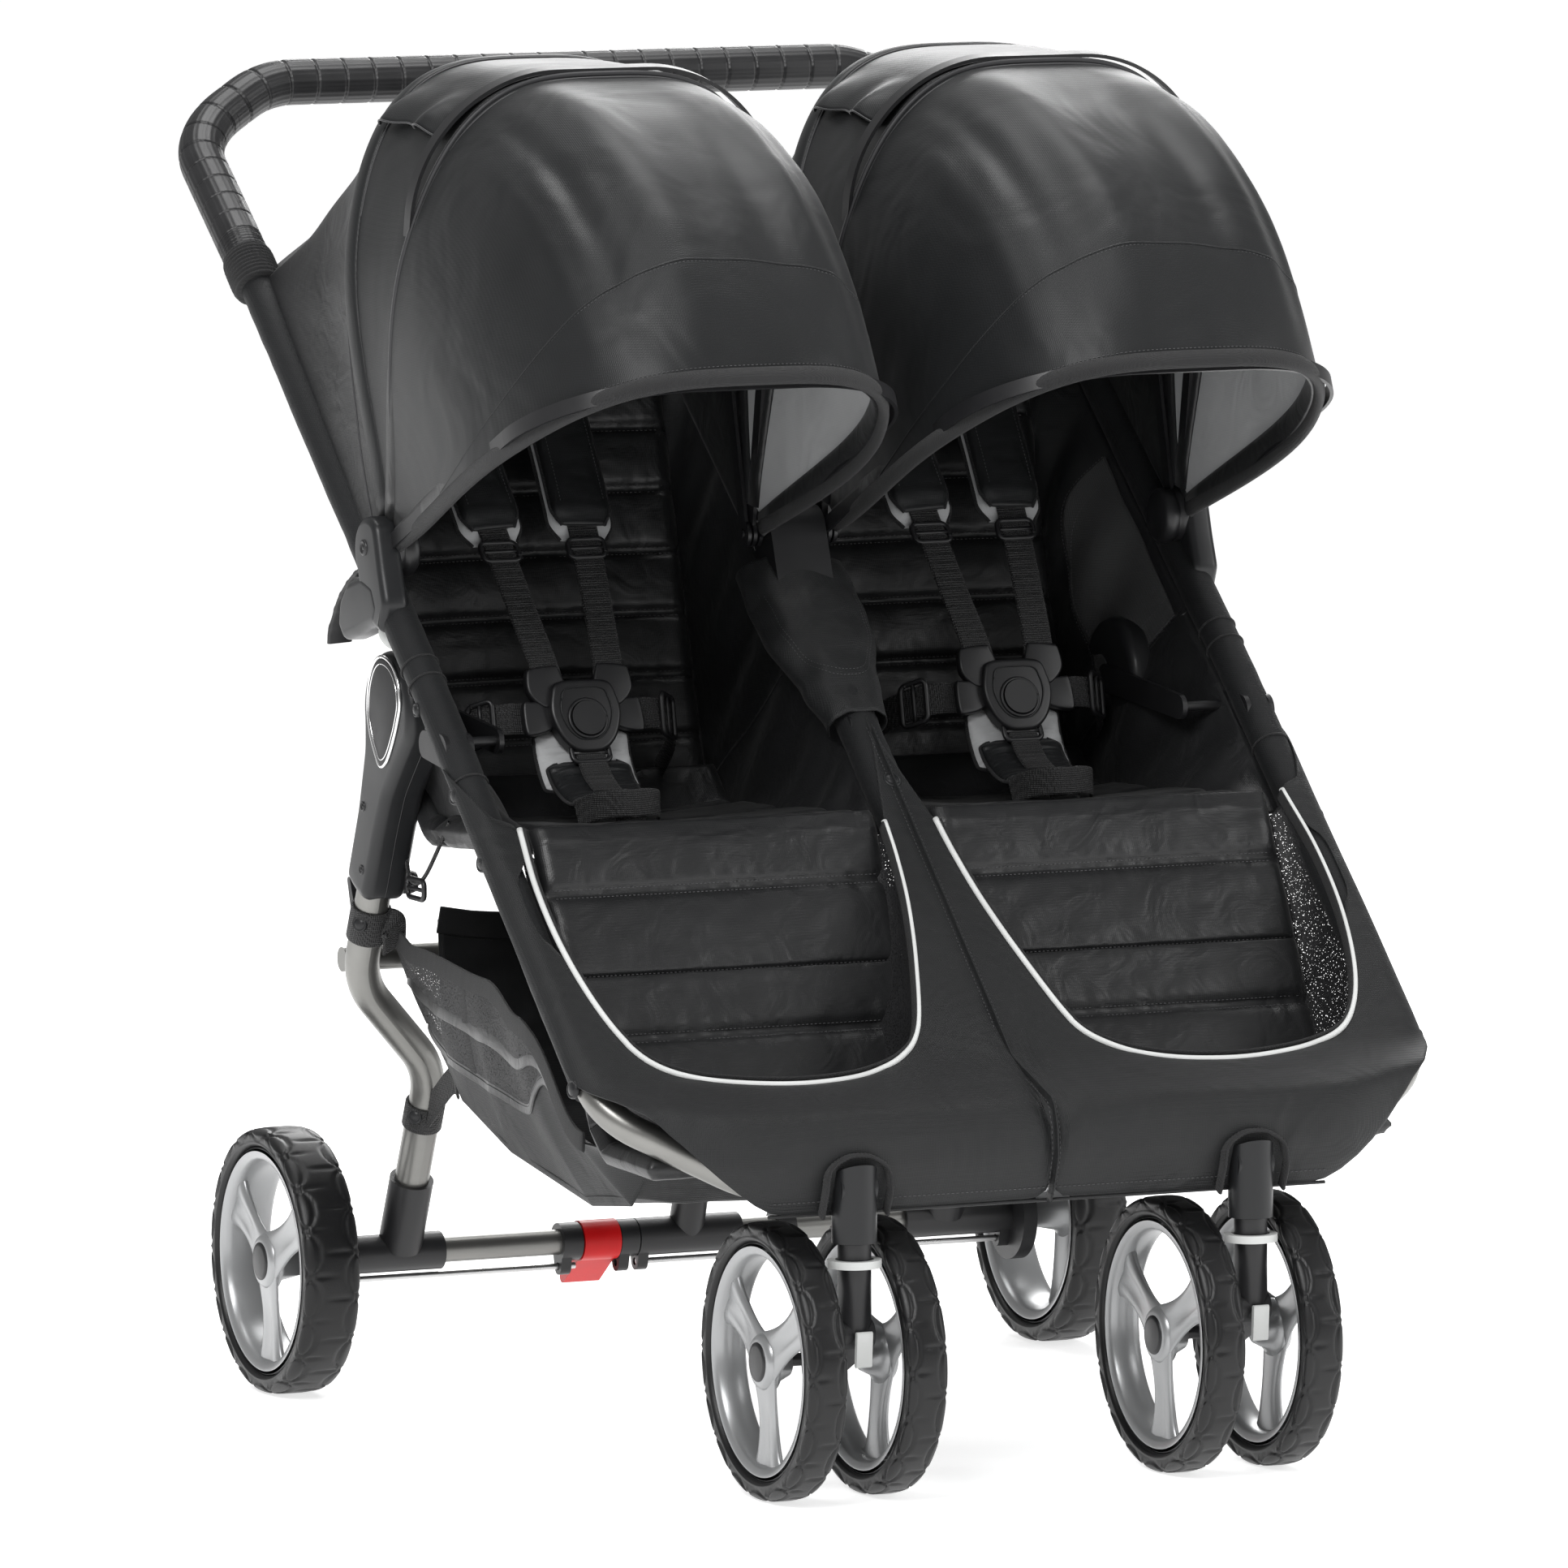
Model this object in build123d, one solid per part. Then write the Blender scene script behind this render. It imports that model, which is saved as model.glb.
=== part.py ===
from build123d import *
import os
from math import atan2, cos, degrees, radians, sin

# A side-by-side twin stroller on a folding aluminium frame.
# +X is the viewer's right from the front, -Y is the front, +Z is up, and the floor is z = 0.
# The model is drawn with the wheels' own Y places and moved by centre_shift when it is written,
# so that the origin is the middle of the whole part's footprint.

# Driving dimensions, in millimetres and degrees.
wheel_radius = 108.0
rim_radius = 91.6
rear_tyre_width = 48.0
rear_wheel_x = 340.0
rear_axle_y = 294.0
front_axle_y = -393.0
caster_x = 168.0
caster_stem_y = -452.0
twin_wheel_offset = 41.8
front_tyre_width = 33.0

side_tube_x = 346.0
frame_tube_radius = 12.0
handle_tube_radius = 14.0
fold_y = -55.0
fold_z = 560.0
tube_offset = 20.0
upper_slope = 39.6
front_slope = 41.2

leg_hinge_y = 85.0
leg_hinge_z = 571.0
leg_x = 319.0
leg_low_x = 241.0
leg_radius = 14.0
leg_slope = 25.0
cover_inner_x = 300.0
cover_thickness = 32.0

canopy_y = 50.0
canopy_z = 704.0
canopy_x = 188.0
canopy_radius = 382.0
rear_bow_angle = 76.0
middle_bow_angle = 100.0
front_bow_angle = 157.0
bow_thickness = 3.0
bow_width = 12.0
cloth = 2.0

bight_y = 132.0
bight_z = 480.0
back_angle = 74.0
back_length = 430.0
seat_inner_x = 30.0
seat_outer_x = 286.0

centre_shift = -16.0
gap = 0.4

os.makedirs("parts", exist_ok=True)


def write(name, *shapes):
    """Writes one sub-part as a STEP file named after it, moved to the origin of the part."""
    solids = [Pos(0, centre_shift, 0) * s for shape in shapes for s in shape.solids()]
    whole = solids[0] if len(solids) == 1 else Compound(children=solids)
    whole.label = name
    export_step(whole, f"parts/{name}.step")


def both(shape):
    """A left piece and its mirror image."""
    return [shape, mirror(shape, about=Plane.YZ)]


def rod(start, end, radius):
    """A round bar between two points."""
    run = Vector(*end) - Vector(*start)
    return Solid.make_cylinder(radius, run.length, Plane(origin=start, z_dir=run))


def across(x0, x1, y, z, radius):
    """A round bar along X."""
    return rod((x0, y, z), (x1, y, z), radius)


def pipe(points, radii, radius, inner=0.0):
    """A bent tube whose centre line is straight runs joined by tangent arcs."""
    path = FilletPolyline(*points, radius=radii)
    section = Circle(radius) - Circle(inner) if inner else Circle(radius)
    return sweep(Plane(origin=path @ 0, z_dir=path % 0) * section, path=path).solid()


def side_plate(outline, x0, x1):
    """An outline drawn in Y and Z, made solid between two places along X."""
    return extrude(Plane.YZ.offset(x0) * outline, amount=x1 - x0).solid()


def disc(y, z, radius):
    """A circle in the YZ outline plane."""
    return Pos(y, z) * Circle(radius)


def hull_of(*sketches):
    """The outline that a band pulled tight round some sketches would have."""
    return make_hull(Sketch(children=list(sketches)).edges())


def polar(y, z, angle, distance):
    """A Y and Z place at an angle from +Y towards +Z."""
    return (y + distance * cos(radians(angle)), z + distance * sin(radians(angle)))


def upper_place(along, normal=tube_offset):
    """A Y and Z place on the upper frame line, from the fold pivot."""
    y, z = polar(fold_y, fold_z, upper_slope, along)
    return polar(y, z, upper_slope + 90, normal)


def front_place(along, normal=tube_offset):
    """A Y and Z place on the front frame line, from the fold pivot down to the front."""
    y, z = polar(fold_y, fold_z, front_slope + 180, along)
    return polar(y, z, front_slope + 90, normal)


# Front frame: one bent tube that makes both sides, the front corners and the front bar.
tube_end = 16.0
front_bar_y = -428.0
front_bar_z = 247.0
side_top = front_place(tube_end)
side_low = front_place(412)
front_path = [
    (-side_tube_x, *side_top),
    (-side_tube_x, *side_low),
    (-238, front_bar_y, front_bar_z),
    (238, front_bar_y, front_bar_z),
    (side_tube_x, *side_low),
    (side_tube_x, *side_top),
]
front_frame_tube = pipe(front_path, [60, 90, 90, 60], frame_tube_radius)
write("front_frame_tube", front_frame_tube)

# The middle tube runs from the middle hinge down to the front bar.
centre_low = (0, *front_place(474, 12))
centre_lower = pipe([(0, *side_top), (0, *front_place(400)), centre_low], 90, frame_tube_radius)
centre_lower -= across(-60, 60, front_bar_y, front_bar_z, frame_tube_radius + 0.1)
write("centre_lower_tube", centre_lower)

# Fold hinges: a fork on the front frame, its pin, and an arm back to the rear leg's pivot.
pin_radius = 4.0


def fork_outline():
    """The side of a fork: from the pivot to a grip on the tube."""
    return hull_of(disc(fold_y, fold_z, 11), disc(*front_place(26), frame_tube_radius + 1))


def lower_bracket(x):
    """The fork that carries the fold pin, and the pin."""
    shape = side_plate(fork_outline(), x - 12, x - 8) + side_plate(fork_outline(), x + 8, x + 12)
    shape += rod((x, *front_place(tube_end - 5)), (x, *front_place(tube_end)), frame_tube_radius)
    shape -= rod((x, *front_place(tube_end - 0.05)), (x, *front_place(60)), frame_tube_radius + 0.05)
    shape += across(x - 12, x + 12, fold_y, fold_z, pin_radius)
    return shape


# Each outer pin also reaches inboard to an arm that carries the rear leg's pivot pin.
arm_outer = -298.0
arm_inner = -294.0
arm = hull_of(disc(fold_y, fold_z, 10), disc(leg_hinge_y, leg_hinge_z, 11))
left_bracket = lower_bracket(-side_tube_x) + side_plate(arm, arm_outer, arm_inner)
left_bracket += across(-side_tube_x, arm_inner, fold_y, fold_z, pin_radius)
left_bracket += across(-cover_inner_x - 26, arm_inner, leg_hinge_y, leg_hinge_z, 5)
write("lower_hinge_brackets", *both(left_bracket.solid()), lower_bracket(0).solid())


# Handle frame: the tongue in each fork, the side tubes and the handle bar.
def upper_bracket(x):
    """The tongue that turns on the fold pin, ending against the upper tube."""
    shank = disc(*upper_place(tube_end - 3), 10)
    shape = side_plate(hull_of(disc(fold_y, fold_z, 10), shank), x - 8 + gap, x + 8 - gap)
    shape -= across(x - 20, x + 20, fold_y, fold_z, pin_radius + 0.2)
    shape -= rod((x, *upper_place(tube_end - 0.05)), (x, *upper_place(70)), frame_tube_radius + 0.05)
    return shape.solids().sort_by(SortBy.VOLUME)[-1]


write("upper_hinge_brackets", *both(upper_bracket(-side_tube_x)), upper_bracket(0))

handle_bar_y = 514.0
handle_bar_z = 1046.0
grip_radius = 19.0
bar_start = (-side_tube_x, *upper_place(470))
bar_knee = (-side_tube_x, *upper_place(540))
left_points = [bar_start, bar_knee, (-335, 492, 1004), (-262, handle_bar_y, handle_bar_z)]
left_bends = [80, 76, 84]


def mirrored(points):
    """A left half of a path, continued by its mirror image back to the other end."""
    return [*points, *[(-x, y, z) for x, y, z in reversed(points)]]


def handle_sweep(points, radius):
    """A tube of one radius along the handle's bent centre line."""
    return pipe(mirrored(points), [*left_bends, *reversed(left_bends)], radius)


side_tube = rod((-side_tube_x, *upper_place(tube_end)), bar_start, frame_tube_radius)
handle_tube = handle_sweep(left_points, handle_tube_radius)
handle_tube += side_tube
handle_tube += mirror(side_tube, about=Plane.YZ)
write("handle_tube", handle_tube.solid())

grip_start = (-side_tube_x, *upper_place(518))
handle_grip = handle_sweep([grip_start, *left_points[1:]], grip_radius)
handle_grip -= handle_sweep(left_points, handle_tube_radius + 0.05)
write("handle_grip", handle_grip.solid())

# The middle upper tube carries the shared canopy hinge.
centre_top = 205.0
centre_upper = rod((0, *upper_place(tube_end)), (0, *upper_place(centre_top)), frame_tube_radius)
write("centre_upper_tube", centre_upper)

# Canopy hinges stand on the tubes and hold the bows' common pin.
hub_radius = 21.0
pin_hole = 4.3


def hinge_foot(x0, x1, x_tube):
    """A hinge body that stands on a tube and surrounds the end of the bows' pin."""
    foot = hull_of(disc(canopy_y, canopy_z, hub_radius), Pos(*upper_place(118, 22)) * Circle(12))
    shape = side_plate(foot, x0, x1)
    shape -= rod((x_tube, *upper_place(60)), (x_tube, *upper_place(260)), frame_tube_radius + 0.05)
    return shape


# Bow ends sit between the hinge bodies at fixed places along the pin, so that no bow meets another.
half_width = 152.0
bow_step = 5.0


def bow_half_width(step):
    """Half the span of one bow: each bow is a little wider than the one behind it."""
    return half_width - bow_step + step * bow_step


outer_face = -363.0
inner_face = -canopy_x - bow_half_width(3) - 1.5
outer_hinge = hinge_foot(outer_face, inner_face, -side_tube_x)
outer_hinge += across(inner_face, -canopy_x - half_width + 5, canopy_y, canopy_z, 4)
write("canopy_hinges_outer", *both(outer_hinge.solid()))
centre_reach = canopy_x - half_width + 5
centre_hinge = hinge_foot(-24, 24, 0)
centre_hinge += across(-centre_reach, centre_reach, canopy_y, canopy_z, 4)
write("canopy_hinge_centre", centre_hinge.solid())


def bow_outline(step, radius, grow=0.0):
    """The bow's centre shape as an outline of width and reach, from the pin to the rounded top."""
    span = 2 * (bow_half_width(step) + grow)
    tall = radius + grow
    block = Pos(0, tall / 2 - 20) * Rectangle(span, tall + 40)
    top_corners = block.vertices().group_by(Axis.Y)[-1]
    return fillet(top_corners, 118 + grow)


def bow(step, radius, angle, side):
    """A flat plastic bow with an eye at each end round the pin."""
    ring = bow_outline(step, radius) - bow_outline(step, radius, -bow_thickness)
    ring &= Pos(0, radius / 2) * Rectangle(600, radius)
    flat = extrude(ring, amount=bow_width / 2, both=True)
    reach = bow_half_width(step)
    flat += across(-reach, -reach + bow_thickness, 0, 0, 10.5)
    flat += across(reach - bow_thickness, reach, 0, 0, 10.5)
    flat -= across(-200, 200, 0, 0, pin_hole)
    return (Pos(side * canopy_x, canopy_y, canopy_z) * Rot(angle, 0, 0) * flat).solid()


clear = 1.4


def hood(step, radius, from_angle, to_angle, side):
    """A cloth section of the canopy: the bow's outline swept round the pin between two angles."""
    outline = bow_outline(step, radius) - bow_outline(step, radius, -cloth)
    outline &= Pos(0, 28 + radius / 2) * Rectangle(600, radius)
    turned = Rot(from_angle, 0, 0) * outline
    shape = revolve(turned, Axis.X, to_angle - from_angle)
    for bow_angle in (from_angle - clear, to_angle + clear):
        shape -= Rot(bow_angle, 0, 0) * Box(700, 900, bow_width + 1)
    return (Pos(side * canopy_x, canopy_y, canopy_z) * shape).solid()


middle_radius = canopy_radius + 4
front_radius = canopy_radius + 8
rear_start = 48.0
rear_end = rear_bow_angle - clear
middle_start = rear_bow_angle + clear
middle_end = middle_bow_angle - clear
visor_start = middle_bow_angle + clear
visor_end = front_bow_angle - clear
write("canopy_rear_bows", *[bow(1, canopy_radius, rear_bow_angle, side) for side in (-1, 1)])
write("canopy_rear_panels", *[hood(1, canopy_radius, rear_start, rear_end, side) for side in (-1, 1)])
for name, side in (("left", -1), ("right", 1)):
    write(f"canopy_{name}_middle_bow", bow(2, middle_radius, middle_bow_angle, side))
    write(f"canopy_{name}_middle_panel", hood(2, middle_radius, middle_start, middle_end, side))
    write(f"canopy_{name}_front_bow", bow(3, front_radius, front_bow_angle, side))
    write(f"canopy_{name}_visor", hood(3, front_radius, visor_start, visor_end, side))

# Accessory brackets: a flat box below each side tube with two M5 clearance holes through it.
accessory_hole = 2.75
accessory = Pos(-357.5, *upper_place(150, -6)) * Rot(upper_slope, 0, 0) * Box(11, 104, 27)
for along in (122, 178):
    accessory -= across(-380, -330, *upper_place(along, -6), accessory_hole)
accessory -= rod((-side_tube_x, *upper_place(20)), (-side_tube_x, *upper_place(300)), frame_tube_radius + 0.05)
write("accessory_brackets", *both(accessory.solid()))

# Soft sides between the upper tubes, the backrests and the seats.
wing = Polyline(upper_place(60, 2), upper_place(400, 2), (150, 506), (4, 500), close=True)
write("side_panels", *both(side_plate(make_face(wing), -291.5, -289.5)))

# Rear frame: a leg on each side that jogs inboard, with a cover over its top.
leg_tan = sin(radians(leg_slope)) / cos(radians(leg_slope))


def leg_place(z):
    """A Y and Z place on the rear leg's slanting centre line."""
    return (rear_axle_y - (z - wheel_radius) * leg_tan, z)


leg_points = [
    (-leg_x, *leg_place(520)),
    (-leg_x, *leg_place(346)),
    (-leg_low_x, *leg_place(266)),
    (-leg_low_x, *leg_place(132)),
]
rear_leg = pipe(leg_points, [70, 70], leg_radius)
write("rear_legs", *both(rear_leg))

cover_low = (120, 444)
cover_shape = hull_of(
    disc(leg_hinge_y, leg_hinge_z, 50),
    Pos(*cover_low) * Rot(0, 0, leg_slope) * Rectangle(74, 30),
)
cover = side_plate(cover_shape, -cover_inner_x - cover_thickness, -cover_inner_x)
cover = fillet(cover.faces().sort_by(Axis.X)[0].edges(), 7)
cover -= rod(leg_points[0], leg_points[1], leg_radius + 0.05)
cover -= across(-cover_inner_x - 27, 0, leg_hinge_y, leg_hinge_z, 5.3)
write("hinge_covers", *both(cover.solid()))

cross_y = 198.0
cross_z = 362.0
leg_room = pipe(leg_points, [70, 70], leg_radius + 0.05)
cross_tube = across(-leg_x - 8, leg_x + 8, cross_y, cross_z, 10) - leg_room - mirror(leg_room, about=Plane.YZ)
write("rear_cross_tube", cross_tube.solids().sort_by(SortBy.VOLUME)[-1])

# Rear axle: a round bar with a stub for each wheel.
axle_radius = 10.5
stub_radius = 5.0
axle = across(-300, 300, rear_axle_y, wheel_radius, axle_radius)
axle += across(-362, 362, rear_axle_y, wheel_radius, stub_radius)
write("rear_axle", axle.solid())

rod_y = rear_axle_y
rod_z = wheel_radius - 20.0
brake_rod_radius = 2.5
rod_hole = 3.2


def axle_sleeve(x0, x1, radius=15.5):
    """A sleeve on the axle with a tab below it that guides the brake rod."""
    tab = hull_of(disc(rear_axle_y, wheel_radius, 12), disc(rod_y, rod_z, 7))
    return across(x0, x1, rear_axle_y, wheel_radius, radius) + side_plate(tab, x0, x0 + 9)


axle_bore = across(-300.05, 300.05, rear_axle_y, wheel_radius, axle_radius + 0.05)
rod_bore = across(-400, 400, rod_y, rod_z, rod_hole)
bracket = axle_sleeve(-300, -205)
bracket += across(-312, -300, rear_axle_y, wheel_radius, 38)
bracket += rod((-leg_low_x, *leg_place(wheel_radius + 6)), (-leg_low_x, *leg_place(172)), 18)
bracket -= rod(leg_points[3], leg_points[2], leg_radius + 0.05)
bracket -= across(-400, 400, rear_axle_y, wheel_radius, stub_radius + 0.05)
strut_angle = degrees(atan2(cross_z - wheel_radius, cross_y - rear_axle_y))
strut_low = (12, *polar(rear_axle_y, wheel_radius, strut_angle, 28))
strut_high = (12, cross_y, cross_z)
centre_casting = axle_sleeve(-33, 58)
centre_casting += rod((12, rear_axle_y, wheel_radius), (12, *polar(rear_axle_y, wheel_radius, strut_angle, 64)), 14.5)
centre_casting -= rod(strut_low, strut_high, 10.55)
castings = [*both(bracket), centre_casting]
castings += [axle_sleeve(-101, -84), axle_sleeve(-50, -34), axle_sleeve(90, 106)]
write("axle_brackets", *[(c - axle_bore - rod_bore).solid() for c in castings])

centre_strut = rod(strut_low, strut_high, 10.5)
centre_strut -= across(-60, 60, cross_y, cross_z, 10.05)
write("centre_strut", centre_strut.solids().sort_by(SortBy.VOLUME)[-1])

# Brake: a pedal that turns on the axle and pushes a rod out to each wheel.
pedal = across(-83, -51, rear_axle_y, wheel_radius, 16.5)
tread = hull_of(disc(rear_axle_y + 4, wheel_radius - 4, 12), disc(rear_axle_y + 34, wheel_radius - 34, 5))
pedal += side_plate(tread, -83, -51)
pedal -= across(-90, -40, rear_axle_y, wheel_radius, axle_radius + 0.3)
write("brake_pedal", pedal.solid())
rod_tip = 304.0
write("brake_rod_left", across(-rod_tip, -86, rod_y, rod_z, brake_rod_radius))
write("brake_rod_right", across(-32, rod_tip, rod_y, rod_z, brake_rod_radius))


# Wheels: a tyre, a three-spoke rim and a hub that turns on its axle.
def tyre(x, y, width):
    """A closed-cell tyre with a rounded tread."""
    section = Pos((rim_radius + wheel_radius) / 2, 0) * Rectangle(wheel_radius - rim_radius, width)
    section = fillet(section.vertices().group_by(Axis.X)[-1], 8)
    ring = revolve(Plane.XZ * section, Axis.Z)
    ring = Rot(0, 90, 0) * ring
    return (Pos(x, y, wheel_radius) * ring).solid()


def rim(x, y, width, outer_side, pocket_side=0):
    """A rim with three spokes dished to its outer side. A rear rim has brake pockets inside."""
    rim_width = width - 10
    shape = across(-rim_width / 2, rim_width / 2, 0, 0, rim_radius)
    shape -= across(-rim_width / 2, rim_width / 2, 0, 0, rim_radius - 9)
    for turn in range(3):
        spoke = Pos(outer_side * (rim_width / 2 - 9), 0, 49) * Box(10, 19, 78)
        shape += Rot(90 + 120 * turn, 0, 0) * spoke
    shape += across(-width / 2 + 3, width / 2 - 3, 0, 0, 17)
    if pocket_side:
        inner_face = pocket_side * (width / 2 - 2)
        shape += across(inner_face, inner_face - pocket_side * 9, 0, 0, 30)
        for turn in range(12):
            y0, z0 = polar(0, 0, 30 * turn, wheel_radius - rod_z)
            shape -= across(inner_face - pocket_side * 20, inner_face + pocket_side, y0, z0, 4)
    shape -= across(-60, 60, 0, 0, stub_radius + 0.2)
    return (Pos(x, y, wheel_radius) * shape).solid()


for name, side in (("left", -1), ("right", 1)):
    x = side * rear_wheel_x
    write(f"rear_tyre_{name}", tyre(x, rear_axle_y, rear_tyre_width))
    write(f"rear_rim_{name}", rim(x, rear_axle_y, rear_tyre_width, side, -side))

# Casters: a socket on the front bar, and a swivelling fork with a wheel on each side.
socket_radius = 17.5
socket_low = 205.0
stem_radius = 8.0


def caster_socket(x):
    """A slant-topped socket on the front bar that holds one caster's stem."""
    shape = rod((x, caster_stem_y, socket_low), (x, caster_stem_y, 272), socket_radius)
    slant = Pos(x, caster_stem_y - 20, 284) * Rot(-24, 0, 0) * Box(60, 90, 30)
    shape -= slant
    saddle = hull_of(disc(front_bar_y, front_bar_z, 20), disc(caster_stem_y, front_bar_z, 12))
    shape += side_plate(saddle, x - 15, x + 15)
    shape -= across(x - 60, x + 60, front_bar_y, front_bar_z, frame_tube_radius + 0.05)
    shape -= rod((x, caster_stem_y, 190), (x, caster_stem_y, 232), stem_radius + 0.2)
    return shape.solid()


write("caster_sockets", caster_socket(-caster_x), caster_socket(caster_x))

for name, side in (("left", -1), ("right", 1)):
    x = side * caster_x
    fork = rod((x, caster_stem_y, 128), (x, caster_stem_y, socket_low - 0.8), 13)
    fork += rod((x, caster_stem_y, 200), (x, caster_stem_y, 230), stem_radius)
    arm = hull_of(disc(caster_stem_y, 134, 12), disc(front_axle_y, wheel_radius, 15))
    fork += side_plate(arm, x - 12.5, x + 12.5)
    fork += across(x - 57, x + 57, front_axle_y, wheel_radius, stub_radius)
    write(f"caster_fork_{name}", fork.solid())
    lever = rod((x, caster_stem_y, 186), (x, caster_stem_y, 192), 21)
    lever -= rod((x, caster_stem_y, 180), (x, caster_stem_y, 200), 15)
    lever -= Pos(x, caster_stem_y + 24, 189) * Box(60, 20, 20)
    write(f"swivel_lock_{name}", lever.solid())
    tab = hull_of(disc(caster_stem_y - 18, 136, 2), disc(caster_stem_y - 16, 112, 2))
    write(f"wheel_release_{name}", side_plate(tab, x - 6.5, x + 6.5))
    for twin, step in (("left", -1), ("right", 1)):
        wheel_x = x + step * twin_wheel_offset
        write(
            f"caster_wheel_{name}_{twin}",
            tyre(wheel_x, front_axle_y, front_tyre_width),
            rim(wheel_x, front_axle_y, front_tyre_width, step),
        )

# Seats: a base, a calf rest with a foot floor, and a backrest for each child.
seat_width = seat_outer_x - seat_inner_x
seat_mid = -(seat_outer_x + seat_inner_x) / 2


def sheet_solid(points, thickness, x0, x1):
    """A bent padded sheet: a line drawn in Y and Z, thickened and made solid along X."""
    line = Polyline(*points)
    band = offset(line, thickness / 2, side=Side.BOTH, kind=Kind.INTERSECTION)
    return side_plate(make_face(band) if not band.faces() else band, x0, x1)


seat_front = (-160, 484)
seat_rear = (bight_y - 16, bight_z - 16)
seat = sheet_solid([seat_front, seat_rear], 22, -seat_outer_x, -seat_inner_x)
write("seat_bases", *both(seat))
calf = sheet_solid(
    [(-178, 484), (-262, 286), (-396, 258)], 9, -308, -seat_inner_x + 4
)
write("calf_rests", *both(calf))

back_top = polar(bight_y, bight_z, back_angle, back_length)
back_outline = hull_of(disc(bight_y, bight_z, 9), disc(*back_top, 9))
backrest = side_plate(back_outline, -seat_outer_x, -seat_inner_x)
write("backrest_left", backrest)
write("backrest_right", mirror(backrest, about=Plane.YZ))

# Harness: padded shoulder straps, a buckle with its button, and a padded crotch strap.
buckle_y = 26.0
buckle_z = 567.0
buckle_tilt = 22.0
strap_spread = 56.0
strap_top = polar(bight_y, bight_z, back_angle, 285)


def shoulder_strap(x):
    """A padded strap from the upper backrest down to the buckle."""
    high = (strap_top[0] - 22, strap_top[1])
    return sheet_solid([(buckle_y + 22, buckle_z + 46), high], 9, x - 24, x + 24)


left_straps = [shoulder_strap(-canopy_x - strap_spread), shoulder_strap(-canopy_x + strap_spread)]
write("shoulder_harness_left", *left_straps)
write("shoulder_harness_right", *[mirror(strap, about=Plane.YZ) for strap in left_straps])

crotch = sheet_solid([(buckle_y - 6, buckle_z - 44), (-30, 502)], 10, -canopy_x - 34, -canopy_x + 34)
write("crotch_pads", *both(crotch))


def buckle_frame(shape):
    """Places a shape drawn about the buckle's own middle, with its face towards -Y."""
    return Pos(-canopy_x, buckle_y, buckle_z) * Rot(-buckle_tilt, 0, 0) * shape


buckle = fillet(Box(64, 20, 66).edges(), 6)
button_well = Rot(90, 0, 0) * Cylinder(14.4, 12)
buckle -= Pos(0, -9, -4) * button_well
write("buckles", *both(buckle_frame(buckle).solid()))
button = Pos(0, -7.4, -4) * Rot(90, 0, 0) * Cylinder(14, 6)
left_button = buckle_frame(button).solid()
write("buckle_button_left", left_button)
write("buckle_button_right", mirror(left_button, about=Plane.YZ))

# Foot cover: the cloth stretched over the front frame, with an opening for each child's legs.
cover_line = [front_place(96, 36), front_place(352, 36), (-449, 300), (-449.5, 262), (-436, 229)]
foot_cover = sheet_solid(cover_line, 2, -side_tube_x - 10, side_tube_x + 10)
opening = Polyline(
    (-300, 0), (-262, 120), (-214, 186), (-120, 204), (-50, 196), (-24, 150), (-26, 60), (-40, 0),
    close=True,
)
opening_plane = Plane(
    origin=(0, *front_place(92, 20)),
    x_dir=(1, 0, 0),
    z_dir=(0, -sin(radians(front_slope)), cos(radians(front_slope))),
)
hole = extrude(opening_plane * mirror(make_face(opening), about=Plane.XZ), amount=40, both=True)
foot_cover = foot_cover - hole - mirror(hole, about=Plane.YZ)
for x in (-caster_x, caster_x):
    foot_cover -= Pos(x, caster_stem_y, 245) * Box(46, 60, 60)
write("foot_cover", foot_cover.solid())

# Storage basket: a cloth tray with a high back, under both seats.
basket_outer = Polyline((176, 372), (160, 236), (60, 204), (-200, 196), (-262, 262), close=True)
basket_space = Polyline((172, 420), (157, 239), (59, 207), (-198, 199), (-272, 276), close=True)
basket = side_plate(make_face(basket_outer), -276, 276)
basket -= side_plate(make_face(basket_space), -273, 273)
write("storage_basket", basket.solids().sort_by(SortBy.VOLUME)[-1])

# Snaps that hold the foot cover, and the hook that keeps the folded frame shut.
snap_places = [front_place(74), front_place(150), front_place(360)]
snap_x = side_tube_x + frame_tube_radius
snaps = [across(-snap_x - 3, -snap_x, y, z, 7) for y, z in snap_places]
write("frame_snaps", *[s for snap in snaps for s in both(snap)])

hook_y, hook_z = leg_place(404)
hook_plate = hull_of(disc(hook_y + 28, hook_z, 4), disc(hook_y + 36, hook_z + 22, 3))
hook_base = hull_of(disc(hook_y + 28, hook_z, 4), disc(hook_y + 28, hook_z - 3, 4))
hook = side_plate(hook_plate, -leg_x - 4, -leg_x + 4) + side_plate(hook_base, -leg_x - 4, -leg_x + 4)
write("fold_hook", hook.solid())
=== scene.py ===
import math

import bpy
from mathutils import Matrix, Vector, noise


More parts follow.
